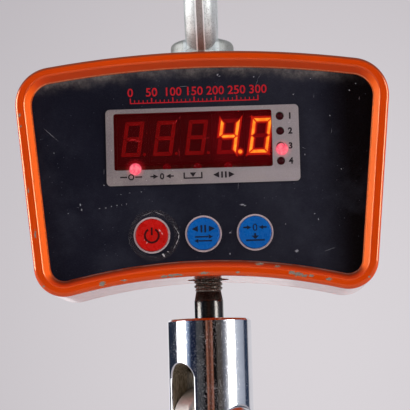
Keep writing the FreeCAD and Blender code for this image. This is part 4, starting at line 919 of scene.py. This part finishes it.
class Ink:
    """Thin plates of printed ink on one plane, placed in millimetres from a centre."""

    proud = 0.05 * mm
    clear = 0.02 * mm       # how far the ink stops short of what it lies on

    def __init__(self, on_y, centre=None):
        self.shape = bmesh.new()
        self.front, self.back = on_y - self.proud, on_y - self.clear
        if centre:
            self.at(centre)

    def at(self, centre):
        self.x, self.z = centre.x, centre.z
        return self

    def plate(self, *corners):
        """A closed plate, from its corners along and up."""
        corners = [(self.x + x * mm, self.z + z * mm) for x, z in corners]
        near = [self.shape.verts.new((x, self.front, z)) for x, z in corners]
        far = [self.shape.verts.new((x, self.back, z)) for x, z in corners]
        self.shape.faces.new(near)
        self.shape.faces.new(far[::-1])
        bridge(self.shape, near[::-1], far[::-1])

    def bar(self, x, z, width, height):
        left, right, low, high = x - width / 2, x + width / 2, z - height / 2, z + height / 2
        self.plate((left, low), (right, low), (right, high), (left, high))

    def arrow(self, x, z, size, way):
        """A triangle that points left or right (way -1 or 1)."""
        half = size / 2
        self.plate((x - way * half, z - half), (x - way * half, z + half), (x + way * half, z))

    def load(self, x, z, half_width, top, tip):
        """A triangle that points down, as a load on its way to a pan."""
        self.plate((x - half_width, z + top), (x + half_width, z + top), (x, z + tip))

    def ring(self, z, radius, width, start, end, steps):
        """A band along an arc, in degrees; a full turn joins up with itself."""
        closed = end - start >= 360
        inner, outer = (radius - width / 2) * mm, (radius + width / 2) * mm
        corners = ((inner, self.front), (outer, self.front), (outer, self.back), (inner, self.back))
        rows = []
        for i in range(steps if closed else steps + 1):
            angle = math.radians(start + (end - start) * i / steps)
            across, up = math.cos(angle), math.sin(angle)
            rows.append([self.shape.verts.new((self.x + r * across, y, self.z + z * mm + r * up))
                         for r, y in corners])
        for one, two in zip(rows, rows[1:] + rows[:1] if closed else rows[1:]):
            bridge(self.shape, one, two)
        if not closed:
            self.shape.faces.new(rows[0])
            self.shape.faces.new(rows[-1][::-1])

    def figures(self, text, x, z, height, weight=0.0):
        """Plain figures, centred on a place."""
        curve = bpy.data.curves.new("figures", "FONT")
        curve.body = text
        curve.align_x = "CENTER"
        curve.resolution_u = 3
        curve.offset = weight
        holder = bpy.data.objects.new("figures", curve)
        scene.collection.objects.link(holder)
        bpy.context.view_layer.update()
        mesh = evaluated_mesh(holder)
        bpy.data.objects.remove(holder)
        low = min(v.co.y for v in mesh.vertices)
        high = max(v.co.y for v in mesh.vertices)
        scale = height * mm / (high - low)
        flat = bmesh.new()
        flat.from_mesh(mesh)
        bmesh.ops.remove_doubles(flat, verts=flat.verts, dist=1e-5)
        for vert in flat.verts:
            vert.co = Vector((self.x + x * mm + vert.co.x * scale, self.front,
                              self.z + z * mm + (vert.co.y - (low + high) / 2) * scale))
        grown = bmesh.ops.extrude_face_region(flat, geom=flat.faces[:])
        for item in grown["geom"]:
            if isinstance(item, bmesh.types.BMVert):
                item.co.y = self.back
        flat.to_mesh(mesh)
        flat.free()
        self.shape.from_mesh(mesh)
        bpy.data.meshes.remove(mesh)


# ---- display: segments of the five digits -------------------------------------------------------
glyph_height = 14.0 * mm
glyph_width = 7.6 * mm
segment_width = 1.45 * mm
segment_gap = 0.14 * mm
glyph_slant = math.tan(math.radians(8.5))
segment_depth = 0.12 * mm
dot_radius = 0.98 * mm
glyph_pitch = (digit_middles[-1].x - digit_middles[0].x) / (DIGITS - 1) + 0.045 * mm
glyph_raise = Vector((-0.02 * mm, 0, 0.35 * mm))
lit_segments = {4: "bcfg", 5: "abcdef"}
digit_with_point = 4


def segment_outline(letter, centre, grow=0.0):
    """Corners of one segment of a leaning glyph."""
    w, h = glyph_width / 2 + grow, glyph_height / 2 + grow
    t, g = segment_width + 2 * grow, segment_gap - grow
    top = [(-w + g, h), (w - g, h), (w - t - g, h - t), (-w + t + g, h - t)]
    right = [(w, h - g), (w, g), (w - t / 2, g), (w - t, t / 2 + g), (w - t, h - t - g)]
    shapes = {"a": top, "b": right,
              "c": [(x, -z) for x, z in right], "d": [(x, -z) for x, z in top],
              "e": [(-x, -z) for x, z in right], "f": [(-x, z) for x, z in right],
              "g": [(-w + t / 2 + g, 0), (-w + t + g, t / 2), (w - t - g, t / 2),
                    (w - t / 2 - g, 0), (w - t - g, -t / 2), (-w + t + g, -t / 2)]}
    return [(centre.x + x + z * glyph_slant, centre.z + z) for x, z in shapes[letter]]


def point_outline(centre, radius):
    """The decimal point to the lower right of a glyph."""
    return disc(centre.x + glyph_width / 2 + 1.75 * mm - glyph_height / 2 * glyph_slant,
                centre.z - glyph_height / 2 + 0.72 * mm, radius, 16)


def inset_outline(outline, by):
    """An outline's corners, each moved inwards along the line that halves its angle."""
    corners = [Vector(corner) for corner in outline]
    centre = sum(corners, Vector((0, 0))) / len(corners)
    inset = []
    for i, corner in enumerate(corners):
        along = (corners[(i + 1) % len(corners)] - corner).normalized()
        inwards = along + (corners[i - 1] - corner).normalized()
        if inwards.length < 1e-3:
            inwards = Vector((-along.y, along.x))
        inwards.normalize()
        if inwards.dot(centre - corner) < 0:
            inwards.negate()
        inset.append(corner + inwards * by)
    return inset


def crowned_slab(shape, outline, front, back, core):
    """A plate whose raised middle carries the attribute core, from 0 at its edge to 1."""
    rim_share = 0.4
    layer = shape.verts.layers.float.get("core") or shape.verts.layers.float.new("core")
    far = [shape.verts.new((x, back, z)) for x, z in outline]
    edge = [shape.verts.new((x, front + (back - front) * rim_share, z)) for x, z in outline]
    crown = [shape.verts.new((x, front, z)) for x, z in inset_outline(outline, core)]
    for vert in crown:
        vert[layer] = 1.0
    shape.faces.new(crown)
    shape.faces.new(far[::-1])
    bridge(shape, crown, edge)
    bridge(shape, edge, far)


def row_rule(material):
    """Repeats a glyph along the display."""
    rule = Rule("digit_row", Digits=DIGITS, Pitch=glyph_pitch)
    places = rule.line(rule.size["Digits"], rule.point(rule.size["Pitch"], 0.0, 0.0))
    return rule.finish(rule.repeat(places, rule.size["Geometry"]), material)


def make_segments():
    """Every digit as unlit segments, and over them the lit ones and their halo, a hair larger."""
    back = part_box("led_digit_1")[0].y - 0.01 * mm
    dull_front = back - segment_depth
    halo_front = dull_front - 0.03 * mm
    lit_front = halo_front - 0.08 * mm
    first = digit_middles[0] + glyph_raise
    dull, lit, halo = bmesh.new(), bmesh.new(), bmesh.new()
    for letter in "abcdefg":
        crowned_slab(dull, segment_outline(letter, first), dull_front, back, 0.45 * mm)
    crowned_slab(dull, point_outline(first, dot_radius * 0.6), dull_front, back, 0.2 * mm)

    grow, spill = 0.02 * mm, 1.0 * mm
    for index, letters in lit_segments.items():
        centre = first + Vector((glyph_pitch * (index - 1), 0, 0))
        for letter in letters:
            crowned_slab(lit, segment_outline(letter, centre, grow), lit_front, back, 0.55 * mm)
            crowned_slab(halo, segment_outline(letter, centre, spill), halo_front, back, spill)
        if index == digit_with_point:
            crowned_slab(lit, point_outline(centre, dot_radius), lit_front, back, 0.4 * mm)
            crowned_slab(halo, point_outline(centre, dot_radius + spill), halo_front, back, spill)
    dull_finish = dull_segment_finish()
    add_piece("unlit_segments", dull, dull_finish, "case", row_rule(dull_finish))
    add_piece("lit_segments", lit, lit_segment_finish(), "case")
    add_piece("segment_halo", halo, halo_finish(), "case")


make_segments()


# ---- printed marks ------------------------------------------------------------------------------
def scale_rule(material, start, step, depth):
    """Adds a row of ticks, every fifth of them longer and wider."""
    rule = Rule("tick_scale", Ticks=31, Start=start, Step=step, Width=0.30 * mm, Height=1.0 * mm,
                Depth=depth, Main_Width=1.6, Main_Height=1.75)
    size = rule.size
    tick = rule.make("GeometryNodeMeshCube", "Mesh",
                     {"Size": rule.point(size["Width"], size["Depth"], size["Height"])})
    tick = rule.move(tick, rule.point(0.0, 0.0, rule.over(size["Height"], 2.0)))
    places = rule.line(size["Ticks"], rule.point(size["Step"], 0.0, 0.0), size["Start"])
    index = rule.add("GeometryNodeInputIndex").outputs["Index"]
    main = rule.maths("LESS_THAN", rule.maths("MODULO", index, 5.0), 0.5)
    wider = rule.span(main, 0.0, 1.0, 1.0, size["Main_Width"])
    taller = rule.span(main, 0.0, 1.0, 1.0, size["Main_Height"])
    ticks = rule.repeat(places, tick, rule.point(wider, 1.0, taller))
    return rule.finish(rule.join(size["Geometry"], ticks), material)


def make_dial_scale():
    """A plain graduated scale with figures, in red on the film above the display."""
    base = (bezel_low + bezel_high) / 2 - Vector((2.9 * mm, 0, 0))
    base.z = bezel_high.z + 2.6 * mm
    ink = Ink(film_y, base)
    length, figured, per_figure, ticks = 51.0, 7, 50, 30
    for i in range(figured):
        ink.figures(str(i * per_figure), length * (i / (figured - 1) - 0.5), 4.1, 3.5, 0.012)
    ink.bar(0, -0.25, length + 0.42, 0.4)
    red_ink = ink_finish("red_ink", (0.46, 0.010, 0.018), (0.24, 0.006, 0.012))
    start = Vector((base.x - length / 2 * mm, (ink.front + ink.back) / 2, base.z))
    rule = scale_rule(red_ink, start, length / ticks * mm, ink.back - ink.front)
    add_piece("dial_scale_print", ink.shape, red_ink, "case", rule)


def steady_sign(ink):
    """A ring on a level line."""
    ink.ring(0, 1.0, 0.5, 0, 360, 24)
    for way in (-1, 1):
        ink.bar(way * 3.0, 0, 2.8, 0.55)


def nought_sign(ink):
    """A nought between two arrow heads."""
    ink.figures("0", 0, 0, 2.6, 0.03)
    for way in (-1, 1):
        ink.arrow(-way * 2.5, 0, 1.9, way)
        ink.bar(-way * 4.0, 0, 1.3, 0.55)


def tare_sign(ink):
    """A load that comes down on a pan between two posts."""
    ink.load(0, 0, 1.3, 1.2, -0.6)
    ink.bar(0, -1.02, 6.4, 0.52)
    for way in (-1, 1):
        ink.bar(way * 3.5, 0, 0.56, 2.56)


def pause_sign(ink, up=0.0, height=2.5, arrow_x=3.1):
    """Pause bars between two arrow heads."""
    for way in (-1, 1):
        ink.bar(way * 0.75, up, 0.7, height)
        ink.arrow(way * arrow_x, up, 2.4, way)


def power_sign(ink):
    """A ring with a stroke through its gap."""
    ink.ring(-0.2, 2.75, 0.78, 120, 420, 40)
    ink.bar(0, 1.5, 0.72, 3.1)


def hold_sign(ink):
    """Pause bars between arrow heads, over a pair of arrows for the next unit."""
    pause_sign(ink, 1.95, 2.9, 3.4)
    for way in (-1, 1):
        row = -2.05 + way * 0.8
        ink.bar(-way * 0.7, row, 5.2, 0.55)
        ink.arrow(way * 2.9, row, 1.7, way)


def zero_sign(ink):
    """Two arrows that point at a nought, over a load that comes down on a pan."""
    upper, lower = 1.95, -2.05
    ink.figures("0", 0, upper, 2.9)
    for way in (-1, 1):
        ink.arrow(-way * 2.3, upper, 1.7, way)
        ink.bar(-way * 3.9, upper, 1.5, 0.6)
    ink.bar(0, lower - 1.1, 7.4, 0.6)
    ink.load(0, lower, 1.5, 0.7, -0.7)
    ink.bar(0, lower + 1.2, 0.8, 0.96)


def make_bezel_marks():
    """Small plain signs for the lamps: a row under the window, and figures beside the column."""
    ink = Ink(bezel_low.y)
    for place, sign in zip(status_places, (steady_sign, nought_sign, tare_sign, pause_sign)):
        sign(ink.at(place + Vector((-1.7, 0, -3.95)) * mm))
    for index, place in enumerate(unit_places):
        ink.at(place).figures(str(index + 1), 4.0, 0, 2.6, 0.04)
    dark_ink = ink_finish("dark_ink", (0.012, 0.008, 0.010), (0.05, 0.04, 0.045))
    add_piece("bezel_print", ink.shape, dark_ink, "case")


def make_button_mark(name, button, sign, material):
    ink = Ink(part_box(button)[0].y, middle(button))
    sign(ink)
    add_piece(name, ink.shape, material, button)


navy_ink = ink_finish("navy_ink", (0.008, 0.012, 0.028), (0.010, 0.03, 0.09))
black_ink = ink_finish("black_ink", (0.035, 0.002, 0.003), (0.16, 0.006, 0.006))
make_dial_scale()
make_bezel_marks()
make_button_mark("power_mark", "power_button", power_sign, black_ink)
make_button_mark("hold_mark", "hold_button", hold_sign, navy_ink)
make_button_mark("zero_mark", "zero_button", zero_sign, navy_ink)


# ---- worn film blister round the power button ---------------------------------------------------
def ridge_rule(material, centre, **sizes):
    """Sweeps a low round ridge, flat underneath, along a ring that wanders in and out."""
    rule = Rule("film_ridge", **sizes)
    size = rule.size
    wander = rule.times(rule.minus(rule.ripple("Fac", 110.0, size["Seed"]), 0.5), size["Wander"])
    outward = rule.vector("NORMALIZE", rule.position())
    ring = rule.shift(rule.circle(96, size["Radius"]), Offset=rule.scaled(outward, wander))
    bow = rule.make("GeometryNodeCurveArc", "Curve",
                    {"Resolution": 9, "Radius": 1.0, "Start Angle": 0.0, "Sweep Angle": math.pi},
                    mode="RADIUS")
    bow = rule.make("GeometryNodeSetSplineCyclic", "Geometry", {"Geometry": bow, "Cyclic": True})
    bow = rule.make("GeometryNodeTransform", "Geometry",
                    {"Geometry": bow, "Scale": rule.point(size["Half_Width"], size["Rise"], 1.0)})
    ridge = rule.move(rule.sweep(ring, bow), centre, (math.radians(90), 0, 0))
    return rule.finish(ridge, material)


def make_blister():
    """A low round ridge of lifted film round the power button."""
    centre = middle("power_button") + Vector((0.9 * mm, 0, -0.1 * mm))
    centre.y = film_y - 0.01 * mm
    finish = blister_finish()
    rule = ridge_rule(finish, centre, Radius=9.15 * mm, Half_Width=1.05 * mm, Rise=0.42 * mm,
                      Wander=1.3 * mm, Seed=4.0)
    add_piece("power_film_blister", bmesh.new(), finish, "case", rule, smooth=True)


make_blister()


# ---- swivel bolt with its thread ----------------------------------------------------------------
bolt_sides = 56


def thread_rule(material, **sizes):
    """Adds a cylinder cut with a single-start thread to the turned blank."""
    rule = Rule("bolt_thread", Around=bolt_sides, Rows=130, **sizes)
    size = rule.size
    top, end, pitch = size["Top"], size["End"], size["Pitch"]
    rod = rule.make("GeometryNodeMeshCylinder", "Mesh",
                    {"Vertices": size["Around"], "Side Segments": size["Rows"], "Radius": 1.0,
                     "Depth": rule.minus(top, end)})
    rod = rule.move(rod, rule.point(0.0, 0.0, rule.over(rule.plus(top, end), 2.0)))
    x, y, z = rule.split(rule.position())
    turn = rule.over(rule.maths("ARCTAN2", y, x), 2 * math.pi)
    phase = rule.maths("FRACT", rule.plus(rule.over(z, pitch), turn))
    ridge = rule.span(rule.absolute(rule.minus(phase, 0.5)), 0.16, 0.44, 1.0, 0.0)
    lead_in = rule.span(rule.minus(top, z), 0.0, pitch)
    run_out = rule.span(rule.minus(z, end), 0.0, pitch)
    raised = rule.times(ridge, rule.minus(size["Crest"], size["Root"]), lead_in, run_out)
    r = rule.plus(size["Root"], raised)
    cut = rule.shift(rod, Position=rule.point(rule.times(x, r), rule.times(y, r), z))
    return rule.finish(rule.join(size["Geometry"], cut), material)


def make_bolt():
    """The whole bolt: a turned blank with a cone, a smooth shank and its head, and its thread."""
    crest, root, shank = 5.75 * mm, 5.1 * mm, 5.9 * mm
    head_r = (bolt_high.x - bolt_low.x) / 2
    head_top = bolt_low.z + 11.0 * mm
    chamfer = 0.8 * mm
    profile = ((root - 0.2 * mm, thread_end + 3 * mm), (root - 0.2 * mm, thread_end + 0.3 * mm),
               (root + 0.02 * mm, thread_end), (shank - 0.2 * mm, thread_end - 3.1 * mm),
               (shank - 0.04 * mm, thread_end - 3.6 * mm), (shank, thread_end - 3.9 * mm),
               (shank, thread_end - 4.4 * mm), (shank, head_top), (head_r, head_top),
               (head_r, bolt_low.z + chamfer), (head_r - chamfer, bolt_low.z))
    shape = bmesh.new()
    rings = [[shape.verts.new((x, y, z)) for x, y in disc(0, 0, r, bolt_sides)] for r, z in profile]
    for one, two in zip(rings, rings[1:]):
        bridge(shape, one, two)
    shape.faces.new(rings[0])
    shape.faces.new(rings[-1][::-1])
    finish = black_oxide_finish()
    rule = thread_rule(finish, Top=bolt_high.z, End=thread_end - 0.1 * mm, Crest=crest, Root=root,
                       Pitch=1.75 * mm)
    piece = add_piece("threaded_bolt", shape, finish, "case", rule, smooth=True)
    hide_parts("swivel_bolt")


make_bolt()


# ---- trimmed flash of the forged eye ------------------------------------------------------------
def make_flash_lines():
    """Two thin burrs along the edges of the eye's parting land, rubbed pale."""
    finish = drifting("bright_flash", (0.80, 0.78, 0.76), (1.0, 0.99, 0.98), 1.5 * mm, 0.6 * mm,
                      0.35, 0.55, detail=4, Metallic=0.2, Specular_IOR_Level=0.5)
    rule = Rule("flash_lines", Radius=eye_high.z - 0.14 * mm, Half_Land=1.5 * mm, Bead=0.32 * mm,
                Wander=0.34 * mm, Seed=7.0)
    size = rule.size
    beads = []
    for side in (-1.0, 1.0):
        ripple = rule.ripple("Color", 240.0, rule.plus(size["Seed"], side))
        wander = rule.scaled(rule.vector("SUBTRACT", ripple, (0.5, 0.5, 0.5)), size["Wander"])
        ring = rule.shift(rule.circle(220, size["Radius"]), Offset=wander)
        bead = rule.sweep(ring, rule.circle(8, size["Bead"]))
        aside = rule.point(rule.times(size["Half_Land"], side), 0.0, 0.0)
        beads.append(rule.move(bead, aside, (0, math.radians(90), 0)))
    rule.finish(rule.join(*beads), finish)
    add_piece("eye_flash_lines", bmesh.new(), finish, "case", rule, smooth=True)


make_flash_lines()


# ---- studio -------------------------------------------------------------------------------------
def make_floor():
    """A pale matt floor, just under the hook."""
    reach, level = 2.6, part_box("clevis")[0].z - 0.09
    shape = bmesh.new()
    corners = ((-reach, -reach), (reach, -reach), (reach, reach), (-reach, reach))
    shape.faces.new([shape.verts.new((x, y, level)) for x, y in corners])
    mesh = bpy.data.meshes.new("studio_floor")
    shape.to_mesh(mesh)
    shape.free()
    mesh.materials.append(drifting("pale_floor", (0.70, 0.665, 0.69), (0.74, 0.71, 0.73), 0.6, 0.2,
                                   0.7, 0.85, Specular_IOR_Level=0.0))
    floor = bpy.data.objects.new("studio_floor", mesh)
    scene.collection.objects.link(floor)


# What polished metal mirrors, as turns from the front through the right: where, and its colour.
studio_bands = ((-180, (0.86, 0.84, 0.87)), (-160, (0.86, 0.84, 0.87)),
                (-152, (0.016, 0.022, 0.040)), (-105, (0.022, 0.030, 0.050)),
                (-98, (1.0, 1.0, 1.02)), (-69, (1.0, 1.0, 1.04)), (-66, (0.62, 0.70, 0.84)),
                (-59, (0.22, 0.29, 0.44)), (-52, (0.018, 0.025, 0.055)),
                (-38, (0.012, 0.016, 0.035)), (-34, (0.070, 0.071, 0.075)),
                (-19, (0.060, 0.058, 0.060)), (-15, (0.006, 0.005, 0.006)),
                (-9, (0.006, 0.005, 0.006)), (-8, (0.34, 0.145, 0.09)), (-4, (0.27, 0.105, 0.065)),
                (-3, (0.095, 0.034, 0.022)), (3, (0.105, 0.037, 0.024)), (4, (0.26, 0.10, 0.062)),
                (8.5, (0.30, 0.13, 0.085)), (10, (0.006, 0.005, 0.005)),
                (18, (0.008, 0.007, 0.007)), (22, (0.090, 0.072, 0.060)),
                (32, (0.075, 0.065, 0.060)), (42, (0.20, 0.21, 0.25)), (53, (1.0, 0.99, 0.98)),
                (72, (1.0, 0.98, 0.97)), (79, (0.60, 0.64, 0.72)), (107, (0.34, 0.37, 0.45)),
                (112, (0.030, 0.045, 0.08)), (127, (0.030, 0.045, 0.08)), (133, (0.72, 0.70, 0.73)))
left_strength, right_strength = 11.5, 11.0      # how much brighter than paper the soft lights are


def band_colours(studio, turn):
    """The studio's colour at a turn, as the bands give it."""
    bands = studio.add("ShaderNodeValToRGB")
    bands.color_ramp.interpolation = "LINEAR"
    stops = bands.color_ramp.elements
    while len(stops) > 1:
        stops.remove(stops[0])
    stops[0].position = 0.0
    stops[0].color = (*studio_bands[0][1], 1)
    for where, colour in studio_bands[1:]:
        stops.new((where + 180) / 360).color = (*colour, 1)
    studio.put(studio.plus(studio.over(turn, 2 * math.pi), 0.5), bands.inputs["Fac"])
    return bands.outputs["Color"]


def backdrop(studio, x, z):
    """What the camera sees behind the scale: pale, with a soft shade about the case."""
    off_x = studio.times(studio.minus(x, 0.03), 21.2)
    off_z = studio.times(studio.minus(z, 0.02), 20.0)
    away = studio.maths("SQRT", studio.plus(studio.times(off_x, off_x), studio.times(off_z, off_z)))
    near = studio.blend(studio.span(away, 0.0, 10.0), (0.694, 0.658, 0.687), (0.386, 0.361, 0.386))
    return studio.blend(studio.span(away, 9.0, 14.0), near, (0.62, 0.59, 0.61))


def make_studio():
    """Pale backdrop for the camera; for everything else, two tall soft lights and dark gaps."""
    world = bpy.data.worlds.new("studio")
    scene.world = world
    world.use_nodes = True
    studio = Nodes(world.node_tree)
    studio.tree.nodes.clear()
    x, y, z = studio.split(studio.add("ShaderNodeTexCoord").outputs["Generated"])
    turn = studio.maths("ARCTAN2", x, studio.times(y, -1.0))
    bands = band_colours(studio, turn)

    red = studio.make("ShaderNodeSeparateColor", "Red", {"Color": bands})
    light = studio.times(studio.span(red, 0.85, 0.98), studio.span(z, -0.20, -0.12),
                         studio.span(z, 0.42, 0.52, 1.0, 0.0))
    ground = studio.blend(studio.span(z, -0.12, -0.06), (0.70, 0.66, 0.68), bands)
    sky = studio.blend(studio.span(z, 0.45, 0.75), ground, (0.40, 0.39, 0.41))
    lit = studio.blend(light, sky, (1.0, 0.985, 0.98))

    seen = studio.add("ShaderNodeLightPath").outputs["Is Camera Ray"]
    strength = studio.span(turn, -0.1, 0.1, left_strength - 1, right_strength - 1)
    extra = studio.times(light, studio.minus(1.0, seen), strength)
    shown = studio.make("ShaderNodeBackground", "Background",
                        {"Color": studio.blend(seen, lit, backdrop(studio, x, z)),
                         "Strength": studio.plus(extra, 1.0)})
    studio.put(shown, studio.add("ShaderNodeOutputWorld").inputs["Surface"])


def make_camera():
    """A long lens, a little below the panel and to the right of its middle, slightly rolled."""
    stand = Vector((22.0, -705.6, -158.8)) * mm
    turned, tilted, rolled = math.radians(1.828), math.radians(5.919), math.radians(1.518)
    data = bpy.data.cameras.new("camera")
    data.sensor_width = 36.0
    data.lens = 152.2
    data.clip_start = 0.05
    data.clip_end = 50.0
    camera = bpy.data.objects.new("camera", data)
    scene.collection.objects.link(camera)
    upright = Matrix.Rotation(math.radians(90) + tilted, 4, "X")
    camera.matrix_world = (Matrix.Translation(stand) @ Matrix.Rotation(turned, 4, "Z") @ upright
                           @ Matrix.Rotation(-rolled, 4, "Z"))
    scene.camera = camera


make_floor()
make_studio()
make_camera()

bpy.context.view_layer.update()
